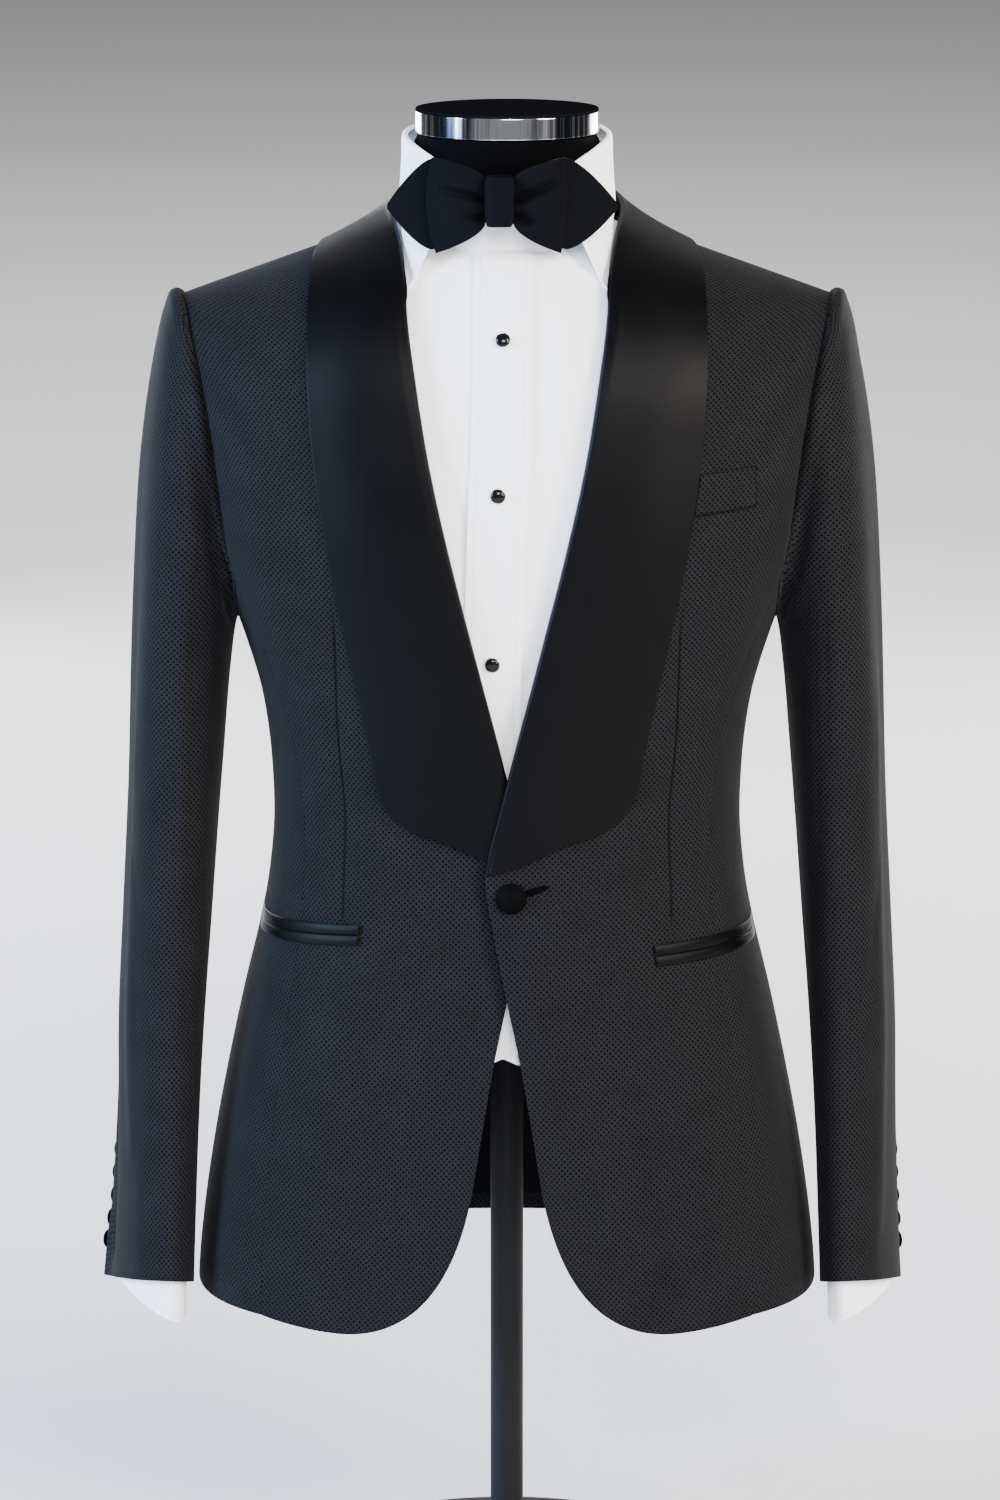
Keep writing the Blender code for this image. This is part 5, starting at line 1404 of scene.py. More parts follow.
def stretched(tree, place, factors):
    return add_node(tree, "VectorMath", {"operation": "MULTIPLY"}, {0: place, 1: factors}).outputs[0]


def parts_of(tree, place):
    return add_node(tree, "SeparateXYZ", None, {0: place}).outputs


def cut_in_turns(tree, pitch):
    """The piece's own map in turns of a thread pitch, as its two separate parts."""
    place = add_node(tree, "UVMap").outputs["UV"]
    turns = 2 * math.pi / pitch
    parts = parts_of(tree, stretched(tree, place, (turns, turns, 0)))
    return place, parts[0], parts[1]


def noise(tree, place, scale, detail=2.0, rough=0.5):
    inputs = {"Vector": place, "Scale": scale, "Detail": detail, "Roughness": rough}
    return add_node(tree, "TexNoise", None, inputs).outputs[0]


def bump(tree, shader, height, distance):
    made = add_node(tree, "Bump", None, {"Height": height, "Distance": distance})
    tree.links.new(made.outputs[0], shader.inputs["Normal"])


def shade_of(colour, factor):
    return (*(part * factor for part in colour), 1.0)


def paint(tree, shader, share, first, second):
    """Colours a finish between two colours, by share."""
    tree.links.new(blend(tree, share, first, second), shader.inputs["Base Color"])


def tint(tree, shader, share, colour, low, high):
    """Colours a finish between low and high times one colour, by share."""
    paint(tree, shader, share, shade_of(colour, low), shade_of(colour, high))


def grained(name, values, tones, scale, detail=2.0, rough=0.5, relief=0.0):
    """A finish between two tones by a fine grain, which also stands out where it has a relief."""
    made, tree, shader = start_finish(name, **values)
    grain = noise(tree, add_node(tree, "TexCoord").outputs["Object"], scale, detail, rough)
    paint(tree, shader, grain, *tones)
    if relief:
        bump(tree, shader, grain, relief)
    return made


def dobby_cloth(colours, sizes):
    """Wool and mohair dobby: matt, with dark pin dots in rows set half a step aside, and painted shade
    along darts and welt edges.
    """
    made, tree, shader = start_finish(
        "charcoal birdseye dobby",
        Roughness=0.80,
        Specular_IOR_Level=0.02,
        Sheen_Weight=0.02,
        Sheen_Roughness=0.45,
    )
    place, across, up = cut_in_turns(tree, sizes.weave_pitch)
    waver = spread_of(tree, noise(tree, place, 260.0), 0.3, 0.7, -0.5, 0.5)
    across, up = (math_node(tree, "COSINE", math_node(tree, "ADD", part, waver)) for part in (across, up))
    dots = math_node(tree, "MULTIPLY", across, up)
    light = spread_of(tree, noise(tree, place, 34.0, 3.0), 0.3, 0.7)
    cloth = colours.jacket
    ground = blend(tree, light, shade_of(cloth, 1.2), shade_of(cloth, 1.5))
    woven = blend(tree, spread_of(tree, dots, 0.05, 0.75), ground, shade_of(cloth, 0.10))
    # Painted shade: the seam mask darkens the cloth along the dart and the welt's lower and right edges,
    # where shadow falls.
    seam = add_node(tree, "Attribute", {"attribute_name": "seam"}).outputs["Fac"]
    paint(tree, shader, spread_of(tree, seam, 0.35, 1.0, 0.0, 0.75), woven, shade_of(cloth, 0.12))
    threads = noise(tree, place, 2400.0, 1.0)
    lump = math_node(tree, "MULTIPLY_ADD", threads, 0.5, math_node(tree, "MULTIPLY", dots, -0.6))
    bump(tree, shader, lump, 0.00016)
    return made


def satin(colours, sizes):
    """Black silk satin: deep, with a soft broad gloss and faint streaks along its long floats."""
    made, tree, shader = start_finish("black duchesse satin", Specular_IOR_Level=0.065)
    place, across, up = cut_in_turns(tree, 0.0009)
    streak = noise(tree, stretched(tree, place, (1400, 90, 1)), 1.0, 3.0, 0.6)
    soft = noise(tree, place, 22.0)
    rough = spread_of(tree, math_node(tree, "ADD", streak, soft), 0.7, 1.3, 0.38, 0.50)
    tree.links.new(rough, shader.inputs["Roughness"])
    tint(tree, shader, streak, colours.satin, 0.8, 1.25)
    twill = math_node(tree, "SINE", math_node(tree, "ADD", across, up))
    bump(tree, shader, math_node(tree, "ADD", math_node(tree, "MULTIPLY", twill, 0.25), streak), 0.00005)
    return made


def grosgrain(colours, sizes):
    """Black silk grosgrain over the buttons: fine ribs that swallow the light, duller than satin."""
    made, tree, shader = start_finish("black silk grosgrain", Roughness=0.55, Specular_IOR_Level=0.025)
    place, _, up = cut_in_turns(tree, 0.0008)
    tint(tree, shader, noise(tree, place, 90.0), colours.satin, 0.6, 1.1)
    bump(tree, shader, math_node(tree, "SINE", up), 0.00008)
    return made


def lining(colours, sizes):
    """Black viscose lining: smooth and slippery, with fine crossways creasing."""
    made, tree, shader = start_finish("black viscose lining", Roughness=0.45, Specular_IOR_Level=0.04)
    place, _, up = cut_in_turns(tree, 0.0012)
    crush = noise(tree, place, 60.0, 4.0, 0.6)
    tint(tree, shader, crush, colours.lining, 0.7, 1.3)
    rib = math_node(tree, "MULTIPLY", math_node(tree, "SINE", up), 0.15)
    bump(tree, shader, math_node(tree, "ADD", crush, rib), 0.0003)
    return made


def poplin(colours, sizes):
    """White cotton poplin: matt and crisp, with fine crossways ribs and a stitched edge, its line faintly
    darkened as painted shade.
    """
    made, tree, shader = start_finish(
        "white cotton poplin", Roughness=0.72, Sheen_Weight=0.10, Sheen_Roughness=0.6
    )
    place, across, up = cut_in_turns(tree, 0.0007)
    threads = math_node(tree, "MULTIPLY", math_node(tree, "SINE", up), math_node(tree, "SINE", across))
    colour = colours.poplin
    ground = blend(tree, noise(tree, place, 40.0, 3.0), shade_of(colour, 0.975), shade_of(colour, 1.0))
    edge = add_node(tree, "Attribute", {"attribute_name": "edge"}).outputs["Fac"]
    off = math_node(tree, "ABSOLUTE", math_node(tree, "SUBTRACT", edge, STITCH_INSET))
    line = spread_of(tree, off, 0.00045, 0.00020)
    parts = parts_of(tree, place)
    run = math_node(tree, "ADD", parts[0], parts[1])
    dash = math_node(tree, "SINE", math_node(tree, "MULTIPLY", run, 2 * math.pi / STITCH_LENGTH))
    stitch = math_node(tree, "MULTIPLY", line, spread_of(tree, dash, -0.75, -0.45))
    # Painted shade: the stitched line is made a little darker, as the shade in its sunken groove; the dip
    # below is relief.
    paint(tree, shader, math_node(tree, "MULTIPLY", line, 0.30), ground, shade_of(colour, 0.72))
    height = math_node(tree, "ADD", math_node(tree, "MULTIPLY", threads, 0.06), stitch)
    dip = math_node(tree, "SUBTRACT", height, math_node(tree, "MULTIPLY", line, 1.3))
    bump(tree, shader, dip, 0.00025)
    return made


def bow_silk(colours, sizes):
    """Midnight silk barathea: close diagonal ribs that dull its gloss."""
    made, tree, shader = start_finish(
        "midnight silk barathea", Roughness=0.60, Specular_IOR_Level=0.035, Sheen_Weight=0.01
    )
    _, across, up = cut_in_turns(tree, 0.0011)
    first = math_node(tree, "SINE", math_node(tree, "ADD", across, up))
    second = math_node(tree, "SINE", math_node(tree, "MULTIPLY", up, 2.0))
    ribs = math_node(tree, "MULTIPLY", first, spread_of(tree, second, -1.0, 1.0, 0.4, 1.0))
    tint(tree, shader, spread_of(tree, ribs, -0.6, 0.8), colours.bow, 0.55, 1.25)
    bump(tree, shader, ribs, 0.00010)
    return made


def onyx(colours, sizes):
    """Polished onyx: jet black under a hard, sharp gloss."""
    tones = (0.0012, 0.0012, 0.0014, 1), (0.0060, 0.0060, 0.0068, 1)
    gloss = {"Specular_IOR_Level": 0.2, "Roughness": 0.07}
    return grained("polished black onyx", gloss, tones, 900.0, 3.0)


def silver(colours, sizes):
    """Polished silver: mirror bright, with faint wiping marks that soften what it reflects."""
    made, tree, shader = start_finish("polished silver", Metallic=1.0)
    marks = noise(tree, add_node(tree, "TexCoord").outputs["Object"], 120.0, 3.0, 0.6)
    tree.links.new(spread_of(tree, marks, 0.3, 0.7, 0.14, 0.28), shader.inputs["Roughness"])
    tint(tree, shader, marks, linear("#d6d7d9"), 0.94, 1.0)
    return made


def chrome(colours, sizes):
    """Chrome plate, polished upright, with painted reflections: bright and smoky bands that run up and
    down the ring.
    """
    made, tree, shader = start_finish("polished chrome plate", Metallic=1.0)
    place = add_node(tree, "UVMap").outputs["UV"]
    turns = math_node(tree, "MULTIPLY", parts_of(tree, place)[0], 2 * math.pi / CHROME_REFLECTION_BAND)
    band = math_node(tree, "COSINE", turns)
    across = stretched(tree, place, (1.0, 0.02, 0.0))
    streak, fine = noise(tree, across, 95.0, 3.0, 0.75), noise(tree, across, 420.0, 2.0, 0.6)
    share = spread_of(tree, math_node(tree, "MULTIPLY_ADD", band, 0.16, streak), 0.36, 0.62)
    share = math_node(tree, "MULTIPLY", share, spread_of(tree, fine, 0.25, 0.6, 0.72, 1.0))
    # Painted reflection: the base colour swings from smoky to bright in bands round the ring.
    paint(tree, shader, share, (*linear("#33373d"), 1.0), (*linear("#f4f6f8"), 1.0))
    tree.links.new(spread_of(tree, fine, 0.3, 0.7, 0.06, 0.16), shader.inputs["Roughness"])
    return made


def flock(colours, sizes):
    """Black flocked jersey over a moulded form: matt, with a velvety edge."""
    tones = shade_of(colours.form, 0.6), shade_of(colours.form, 1.5)
    matt = {"Roughness": 0.92, "Specular_IOR_Level": 0.02, "Sheen_Weight": 0.01}
    return grained("black flocked jersey", matt, tones, 1500.0, 3.0, 0.7, 0.0004)


def lacquer(colours, sizes):
    """Matt black lacquer: no gloss even at a low angle, with the faintest orange peel."""
    tones = (0.0030, 0.0030, 0.0034, 1), (0.0050, 0.0050, 0.0056, 1)
    matt = {"Roughness": 0.80, "Specular_IOR_Level": 0.0}
    return grained("matt black lacquer", matt, tones, 260.0, relief=0.00004)


def powder_coat(colours, sizes):
    """Black powder-coated steel: satin, with a fine pebbled skin."""
    tones = shade_of(colours.steel, 0.8), shade_of(colours.steel, 1.3)
    soft = {"Roughness": 0.60, "Specular_IOR_Level": 0.2}
    return grained("black powder-coated steel", soft, tones, 1100.0, relief=0.00012)


def seamless_paper(colours, sizes):
    """Pale studio paper: matt and almost without grain."""
    tones = shade_of(colours.floor, 0.99), shade_of(colours.floor, 1.0)
    return grained("pale studio paper", {"Roughness": 0.95, "Specular_IOR_Level": 0.2}, tones, 3.0)


CHROME_REFLECTION_BAND = 0.0936  # metres from one painted reflection band to the next, four of them round the ring
STITCH_INSET, STITCH_LENGTH = 0.0048, 0.0026
MAKERS = {
    "cloth": dobby_cloth,
    "satin": satin,
    "cover": grosgrain,
    "lining": lining,
    "poplin": poplin,
    "bow": bow_silk,
    "onyx": onyx,
    "silver": silver,
    "chrome": chrome,
    "form": flock,
    "lacquer": lacquer,
    "steel": powder_coat,
    "floor": seamless_paper,
}
FINISHES = {}


def finish_named(name):
    """A finish by its name; the first call makes them all."""
    if not FINISHES:
        scene = bpy.context.scene
        for key, make in MAKERS.items():
            FINISHES[key] = make(scene.tuxedo_colours, scene.tuxedo_sizes)
    return FINISHES[name]


# ------------------------------------------------------------------ properties


def colour_property(name, description, value):
    limits = {"subtype": "COLOR", "size": 3, "min": 0.0, "max": 1.0}
    return FloatVectorProperty(name=name, description=description, default=linear(value), **limits)


def length_property(name, description, value, low, high):
    limits = {"unit": "LENGTH", "min": low, "max": high, "precision": 4}
    return FloatProperty(name=name, description=description, default=value, **limits)


class TuxedoSizes(bpy.types.PropertyGroup):
    weave_pitch: length_property("Weave pitch", "Distance between two dots of a row", 0.0038, 0.001, 0.01)
    button_radius: length_property("Front button", "Radius of the front button", 0.0100, 0.006, 0.014)
    cuff_button_radius: length_property("Sleeve button", "Radius of a sleeve button", 0.0063, 0.004, 0.009)
    stud_radius: length_property("Stud", "Radius of a stud with its rim", 0.0052, 0.003, 0.007)
    rim: length_property("Cloth rim", "How far the rims of the cloth are rounded", 0.0007, 0.0, 0.001)
    fold_strength: FloatProperty(
        name="Fold strength",
        description="How deep the folds of the jacket are",
        default=1.2,
        min=0.0,
        max=2.0,
    )


class TuxedoColours(bpy.types.PropertyGroup):
    jacket: colour_property("Jacket", "Ground of the jacket cloth", "#141416")
    satin: colour_property("Satin", "Lapels, jets and covered buttons", "#040405")
    lining: colour_property("Lining", "Inside of the jacket", "#030304")
    poplin: colour_property("Shirt", "Shirt, collar and cuffs", "#fbfcfd")
    bow: colour_property("Bow tie", "Silk of the bow tie", "#040509")
    form: colour_property("Form", "Flock of the dress form", "#030304")
    steel: colour_property("Stand", "Post and base plate", "#0a0a0b")
    floor: colour_property("Floor", "Paper under the stand", "#dededd")


# ------------------------------------------------------------------ operators


class Step(bpy.types.Operator):
    """One step of the making."""

    bl_options = {"REGISTER", "UNDO"}

    @classmethod
    def poll(cls, context):
        return context.mode == "OBJECT"


class TUXEDO_OT_form(Step):
    """Make the flocked torso and its neck"""

    bl_idname = "tuxedo.form"
    bl_label = "Dress form"

    def execute(self, context):
        torso = shape_grid("form_torso_skin", form_points(), closed=True)
        whole_mesh(bpy.ops.mesh.remove_doubles, threshold=1e-5)
        close_ends()
        settle(torso, ["form"], ["form_torso"])
        low, rim, wide = 0.88, 0.0580, 0.0618
        skin = [
            (0, NECK_TOP),
            (rim, NECK_TOP),
            (wide, NECK_TOP - 0.012),
            (wide, 0.925),
            (0.0600, low),
            (0, low),
        ]
        neck = turned("form_neck_skin", rounded(skin, 0.005), (0, NECK_Y, 0), steps=96)
        settle(neck, ["form"], ["form_torso"])
        return {"FINISHED"}


class TUXEDO_OT_neck_cap(Step):
    """Make the chrome band and the lacquered disc on the neck"""

    bl_idname = "tuxedo.neck_cap"
    bl_label = "Neck cap"

    def execute(self, context):
        low, top = NECK_TOP + 0.0003, TOTAL_HEIGHT - 0.0016
        outer, inner = 0.0596, 0.0572
        start = (inner + 0.0003, low)
        wall = rounded([start, (outer, low), (outer, top), (inner, top), (inner, low), start], 0.0006, 2)
        turn_piece("neck_band", "chrome", "chrome", wall, (0, NECK_Y, 0), steps=128)
        rim, under = outer - 0.0003, top + 0.0001
        face = rounded([(0, TOTAL_HEIGHT), (rim, TOTAL_HEIGHT), (rim, under), (0, under)], 0.0010)
        turn_piece("neck_disc", "lacquer", "lacquer", face, (0, NECK_Y, 0), steps=128)
        return {"FINISHED"}


class TUXEDO_OT_stand(Step):
    """Make the post and the base plate"""

    bl_idname = "tuxedo.stand"
    bl_label = "Stand"

    def execute(self, context):
        foot = BASE_HEIGHT + 0.022
        base = [
            (0, foot),
            (0.0176, foot),
            (0.0180, BASE_HEIGHT + 0.004),
            (0.0230, BASE_HEIGHT),
            (BASE_RADIUS - 0.0005, BASE_HEIGHT),
            (BASE_RADIUS, BASE_HEIGHT - 0.003),
            (BASE_RADIUS, 0),
            (0, 0),
        ]
        top = FORM_BOTTOM - 0.0003
        under, rim = top - 0.0088, 0.0300
        flange = [(0, top), (rim, top), (rim, top - 0.005), (0.0250, under), (0, under)]
        low, high = foot + 0.0001, top - 0.0089
        tube = [(0, high), (POST_RADIUS, high), (POST_RADIUS, low), (0, low)]
        for node, tail, profile, soft, steps in (
            ("stand_base", "plate", base, 0.0022, 128),
            ("form_socket", "flange", flange, 0.0016, 64),
            ("stand_post", "tube", tube, 0.0006, 64),
        ):
            turn_piece(node, tail, "steel", rounded(profile, soft), (0, 0, 0), steps=steps)
        return {"FINISHED"}


def edge_distance(points, which):
    """Metres to the nearest of the named edges of a grid, for its stitched line or its painted edge
    shadow.
    """
    across, up = arc_lengths(points, 1), arc_lengths(points, 0)
    away = {"left": across, "right": across[:, -1:] - across, "low": up, "high": up[-1:] - up}
    return np.minimum.reduce([away[name] for name in which])


def sew_shirt(node, points, hub, cut, wall=SHIRT_WALL, rim=0.0004, held="stretched", stitched=(), **more):
    """Makes a piece of the shirt, with a stitched line along the named edges."""
    if stitched:
        more["masks"] = {"edge": edge_distance(points, stitched)}
    sew(node, "poplin", points, hub, wall, rim, cut, held, **more)


class TUXEDO_OT_shirt_body(Step):
    """Make the shirt's fronts, back and placket"""

    bl_idname = "tuxedo.shirt_body"
    bl_label = "Shirt body"

    def execute(self, context):
        for side, label in SIDES:
            more = {"area": 0.118, "rests_on": ["form_torso_skin"]}
            sew_shirt(f"shirt_front_{label}", shirt_front_points(side), trunk, (0.27, 0.60), **more)
        sew_shirt("shirt_back", shirt_back_points(), trunk, (0.51, 0.60), area=0.23)
        more = {"stitched": ("left", "right"), "rests_on": ["shirt_front_left_poplin"]}
        sew_shirt("shirt_placket", placket_points(), trunk, (0.038, 0.57), **more)
        return {"FINISHED"}


class TUXEDO_OT_shirt_collar(Step):
    """Make the collar band and the turned-down leaf"""

    bl_idname = "tuxedo.shirt_collar"
    bl_label = "Shirt collar"

    def execute(self, context):
        sew_shirt("collar_band", band_points(), collar_hub, (0.405, 0.055), area=0.020, closed=True)
        more = {"held": "folded", "area": 0.023, "stitched": ("low", "high", "right")}
        sew_shirt("collar_leaf", leaf_points(), collar_hub, (0.42, 0.09), LEAF_WALL, 0.0005, **more)
        return {"FINISHED"}


class TUXEDO_OT_shirt_sleeves(Step):
    """Make the shirt's sleeves and cuffs"""

    bl_idname = "tuxedo.shirt_sleeves"
    bl_label = "Shirt sleeves"

    def execute(self, context):
        for side, label in SIDES:
            sleeve, cuff = worn(shirt_sleeve_points(), side), worn(cuff_points(), side)
            more = {"held": "hung", "closed": True}
            cut = (0.45, 0.62)
            sew_shirt(f"shirt_sleeve_{label}", sleeve, arm, cut, rim=0.0, area=0.136, **more)
            more.update(area=0.013, stitched=("high",))
            sew_shirt(f"shirt_cuff_{label}", cuff, arm, (0.23, 0.065), CUFF_WALL, 0.0006, **more)
        return {"FINISHED"}


class TUXEDO_OT_studs(Step):
    """Make the three onyx studs and their silver rims"""

    bl_idname = "tuxedo.studs"
    bl_label = "Studs"

    def execute(self, context):
        radius = context.scene.tuxedo_sizes.stud_radius
        reach, inner = radius - 0.0006, radius - 0.0008
        turns = np.linspace(0.0, 1.57, 9)
        dome = [(reach * math.sin(turn), 0.0011 + 0.0020 * math.cos(turn)) for turn in turns]
        dome += [(reach, 0.0004), (0, 0.0004)]
        rim = [
            (reach, 0.0),
            (radius, 0.0),
            (radius, 0.0010),
            (radius - 0.0004, 0.0015),
            (inner, 0.0012),
            (inner, 0.0),
            (reach, 0.0),
        ]
        for index, height in enumerate(STUD_HEIGHTS):
            x = placket_x(height)
            level = level_of(x, height, SHIRT_AT_CHEST)
            normal = outward(x, level)
            lift = PLACKET_OUT + (0.0008 if index == 0 else 0.0)
            place = body(x, level, False, shirt_inset(level)) + normal * lift
            node = f"stud_{index + 1}"
            turn_piece(node, "onyx", "onyx", dome, place, normal, 40)
            turn_piece(node, "rim", "silver", rounded(rim, 0.0004, 2), place, normal, 40)
        return {"FINISHED"}


class TUXEDO_OT_bow(Step):
    """Make the bow tie: its knot, front wings and pointed back wings"""

    bl_idname = "tuxedo.bow"
    bl_label = "Bow tie"

    def execute(self, context):
        knot = shape_grid("bow_knot_silk", knot_points(), closed=True)
        close_ends()
        modify(knot, "BEVEL", width=0.0012, segments=3, limit_method="ANGLE", angle_limit=RIM_ANGLE)
        settle(knot, ["bow"], ["bow_knot"])
        for side, label, end in ((1, "left", 0.0755), (-1, "right", 0.0715)):
            for part, points, wall, rim, cut, held, area in (
                ("wing", wing_points(side), BOW_WALL, 0.0013, (0.062, 0.042), "gathered", 0.0022),
                ("point", tip_points(side, end), POINT_WALL, 0.0009, (0.056, 0.056), "folded", 0.0024),
            ):
                rest = ["bow_knot_silk"]
                sew(f"bow_{part}_{label}", "silk", points, behind, wall, rim, cut, held, area, rest)
        return {"FINISHED"}


class TUXEDO_OT_jacket_body(Step):
    """Make the jacket's fronts, side panels and backs"""

    bl_idname = "tuxedo.jacket_body"
    bl_label = "Jacket body"

    def execute(self, context):
        for side, label in SIDES:
            # Each front's dart mask paints shade along the dart's line on its cloth.
            front, dart = front_points(side)
            for part, points, masks, cut, area in (
                ("front", front, {"seam": dart}, (0.22, 0.77), 0.115),
                ("side", side_points(), None, (0.235, 0.50), 0.084),
                ("back", back_points(side), None, (0.26, 0.78), 0.135),
            ):
                sew_panel(f"jacket_{part}_{label}", side, points, trunk, panel_map, cut, area, masks)
        return {"FINISHED"}


class TUXEDO_OT_lining(Step):
    """Make the lining inside the skirt of the back"""

    bl_idname = "tuxedo.lining"
    bl_label = "Lining"

    def execute(self, context):
        low = 0.236
        height = column_of(low, 0.440, 50)
        share = row_of(-1.0, 1.0, 90)
        reach = 0.62 * BODY.at("half_width", height)
        ease = 0.0010 * np.sin(share * 26.0) * (1 - share**2) * ramp(height, low, 0.260)
        points = body(reach * share, height, True, CLOTH_WALL + 0.0016 + ease)
        cut = (0.27, 0.21)
        sew("jacket_lining", "viscose", points, trunk, LINING_WALL, 0.0003, cut, "hung", 0.050)
        return {"FINISHED"}


class TUXEDO_OT_sleeves(Step):
    """Make the two-piece sleeves"""

    bl_idname = "tuxedo.sleeves"
    bl_label = "Sleeves"

    def execute(self, context):
        for side, label in SIDES:
            for upper, part, cut, area in (
                (True, "top", (0.30, 0.68), 0.110),
                (False, "under", (0.20, 0.55), 0.060),
            ):
                points = sleeve_half(side, upper)
                sew_panel(f"{part}_sleeve_{label}", side, points, arm, sleeve_map, cut, area)
        return {"FINISHED"}


class TUXEDO_OT_shawl(Step):
    """Make the satin shawl collar"""

    bl_idname = "tuxedo.shawl"
    bl_label = "Shawl collar"

    def execute(self, context):
        for side, label in SIDES:
            points, cut = worn(shawl_points(side), side), (0.095, 0.67)
            sew(f"shawl_{label}", "satin", points, collar_hub, SATIN_WALL, 0.0006, cut, "folded", 0.047)
        return {"FINISHED"}


class TUXEDO_OT_pockets(Step):
    """Make the breast welt and the satin-jetted hip pockets"""

    bl_idname = "tuxedo.pockets"
    bl_label = "Pockets"

    def execute(self, context):
        points = welt_points()
        # Painted shadow: this mask darkens the welt's lower and right edges, as the shade under them.
        masks = {"seam": hump(edge_distance(points, ("low", "right")), 0.0, 0.0024)}
        more = {"rests_on": ["jacket_front_left_cloth"], "masks": masks, "places": panel_map(points)}
        sew("breast_welt", "cloth", points, trunk, WELT_WALL, 0.0005, (0.046, 0.0262), "laid", **more)
        for side, label in SIDES:
            rest = [f"jacket_front_{label}_cloth"]
            for part, low in (("lower", 0.0), ("upper", JET_HEIGHT + 0.0004)):
                points, cut = worn(jet_points(low, label, side), side), (0.138, 0.010)
                node = f"pocket_jet_{part}_{label}"
                sew(node, "satin", points, trunk, JET_WALL, 0.0004, cut, "laid", 0.00098, rest)
        return {"FINISHED"}


class TUXEDO_OT_front_button(Step):
    """Make the silk-covered front button and its worked buttonhole"""

    bl_idname = "tuxedo.front_button"
    bl_label = "Front button"

    def execute(self, context):
        radius = context.scene.tuxedo_sizes.button_radius
        normal = outward(BUTTON_X, BUTTON_HEIGHT)
        place = off_body(BUTTON_X, BUTTON_HEIGHT, front_lift(BUTTON_X, BUTTON_HEIGHT) + 0.0002)
        turn_piece("front_button", "satin", "cover", pillow(radius, 0.0048), place, normal, 72)
        turn = row_of(0.0, 2 * math.pi, 73)
        reach = column_of(0.04, 1.0, 12)
        along_hole = np.cos(turn) * reach
        half = 0.0025 - 0.0007 * along_hole
        middle_x, middle_z = 0.0185, 0.5088
        x = middle_x + 0.0092 * along_hole
        z = middle_z + half * np.sin(turn) * reach + 0.30 * (x - middle_x)
        slit = 0.0005 * hump(np.sin(turn) * reach, 0.0, 0.22)
        out = front_lift(x, z) + front_relief(x, z, 1) + 0.0011 - 0.0012 * reach**4 - slit
        hole = shape_grid("buttonhole_thread", off_body(x, z, out), trunk)
        settle(hole, ["cover"], [])
        return {"FINISHED"}


class TUXEDO_OT_sleeve_buttons(Step):
    """Make the buttons of both sleeve vents"""

    bl_idname = "tuxedo.sleeve_buttons"
    bl_label = "Sleeve buttons"

    def execute(self, context):
        profile = pillow(context.scene.tuxedo_sizes.cuff_button_radius, 0.0033, steps=9)
        for side, label in SIDES:
            for index in range(SLEEVE_BUTTONS):
                height = SLEEVE_BUTTON_TOP - index * SLEEVE_BUTTON_STEP
                station = np.array(SLEEVE_HEM - (height - HEM_HEIGHT + 0.005) / STATION_ABOVE_HEM)
                angle = HIND_SEAM.at("angle", station) + BUTTON_LINE
                normal = sleeve_outward(angle, station)
                place = sleeve_point(angle, station)
                relief = sleeve_relief(angle, station, place, side) + 0.0007
                place = place + normal * (0.0002 + relief)
                node = f"sleeve_button_{label}_{index + 1}"
                flip = np.array((side, 1, 1))
                turn_piece(node, "satin", "cover", profile, place * flip, normal * flip, 28)
        return {"FINISHED"}


def area_light(name, place, target, size, power, colour):
    """A soft light that looks at its target."""
    bpy.ops.object.light_add(type="AREA", location=place)
    light = bpy.context.object
    light.name = name
    light.data.shape = "RECTANGLE"
    light.data.size, light.data.size_y = size
    light.data.energy = power
    light.data.color = linear(colour)
    look = Vector(target) - Vector(place)
    light.rotation_euler = look.to_track_quat("-Z", "Y").to_euler()


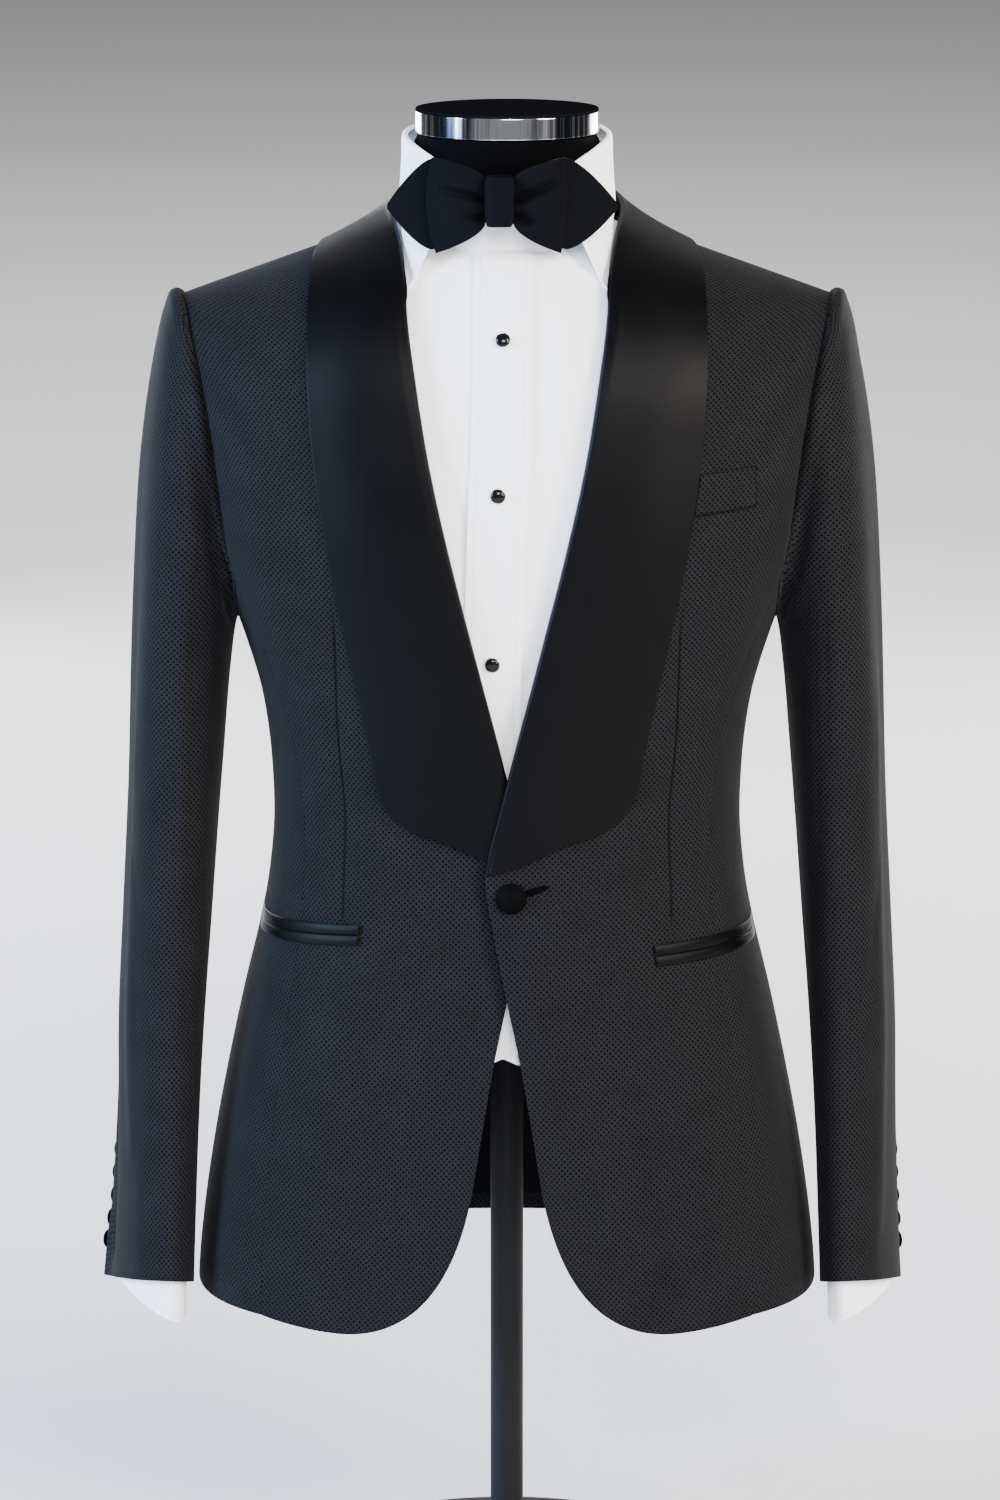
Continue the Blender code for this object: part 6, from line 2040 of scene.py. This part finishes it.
class TUXEDO_OT_stage(Step):
    """Make the floor, the lights and the camera"""

    bl_idname = "tuxedo.stage"
    bl_label = "Stage"

    def execute(self, context):
        deselect()
        bpy.ops.mesh.primitive_plane_add(size=60, location=(0, 0, 0))
        floor = bpy.context.object
        floor.name = "studio_floor"
        floor.data.materials.append(finish_named("floor"))
        middle = (0.0, 0.0, 0.60)
        for name, place, target, size, power, colour in (
            ("key_light", (-3.4, -1.2, 1.7), middle, (1.4, 2.2), 540.0, "#b8d2ff"),
            ("fill_light", (2.7, -2.2, 2.2), middle, (1.4, 2.2), 330.0, "#fff6ec"),
            ("front_light", (0.4, -3.7, 2.6), middle, (1.6, 1.2), 190.0, "#ffffff"),
            ("back_light_left", (-1.8, 3.2, 1.2), middle, (1.8, 1.4), 140.0, "#f4f7ff"),
            ("back_light_right", (2.3, 2.9, 1.1), middle, (1.8, 1.4), 170.0, "#fff8f0"),
            ("floor_light", (0.0, 4.6, 4.2), (0.0, 6.4, 0.0), (4.0, 3.0), 260.0, "#ffffff"),
        ):
            area_light(name, place, target, size, power, colour)
        world = bpy.data.worlds.new("studio")
        context.scene.world = world
        world.use_nodes = True
        sky = world.node_tree.nodes["Background"]
        sky.inputs["Color"].default_value = (*linear("#f1f2f4"), 1.0)
        sky.inputs["Strength"].default_value = 0.30
        pitch, distance, aim = math.radians(11.3), 4.2, 0.575
        place = (-0.0046, -distance * math.cos(pitch), aim + distance * math.sin(pitch))
        bpy.ops.object.camera_add(location=place, rotation=(math.pi / 2 - pitch, 0.0, 0.0))
        camera = context.object
        camera.name = "front_camera"
        camera.data.sensor_fit = "HORIZONTAL"
        camera.data.sensor_width = 36.0
        camera.data.lens = 228.96
        camera.data.dof.use_dof = False
        context.scene.camera = camera
        return {"FINISHED"}


OPERATORS = (
    TUXEDO_OT_form,
    TUXEDO_OT_neck_cap,
    TUXEDO_OT_stand,
    TUXEDO_OT_shirt_body,
    TUXEDO_OT_shirt_collar,
    TUXEDO_OT_shirt_sleeves,
    TUXEDO_OT_studs,
    TUXEDO_OT_bow,
    TUXEDO_OT_jacket_body,
    TUXEDO_OT_lining,
    TUXEDO_OT_sleeves,
    TUXEDO_OT_shawl,
    TUXEDO_OT_pockets,
    TUXEDO_OT_front_button,
    TUXEDO_OT_sleeve_buttons,
    TUXEDO_OT_stage,
)


class TUXEDO_PT_panel(bpy.types.Panel):
    """Lists the sizes, the colours and the steps"""

    bl_label = "Tuxedo"
    bl_idname = "TUXEDO_PT_panel"
    bl_space_type = "VIEW_3D"
    bl_region_type = "UI"
    bl_category = "Tuxedo"

    def draw(self, context):
        for group in (context.scene.tuxedo_sizes, context.scene.tuxedo_colours):
            box = self.layout.box()
            for name in group.__annotations__:
                box.prop(group, name)
        for operator in OPERATORS:
            self.layout.operator(operator.bl_idname)


CLASSES = (TuxedoSizes, TuxedoColours, *OPERATORS, TUXEDO_PT_panel)


def register():
    for item in CLASSES:
        bpy.utils.register_class(item)
    bpy.types.Scene.tuxedo_sizes = PointerProperty(type=TuxedoSizes)
    bpy.types.Scene.tuxedo_colours = PointerProperty(type=TuxedoColours)


def unregister():
    del bpy.types.Scene.tuxedo_colours
    del bpy.types.Scene.tuxedo_sizes
    for item in reversed(CLASSES):
        bpy.utils.unregister_class(item)


def main():
    register()
    for operator in OPERATORS:
        group, name = operator.bl_idname.split(".")
        getattr(getattr(bpy.ops, group), name)()


if __name__ == "__main__":
    main()
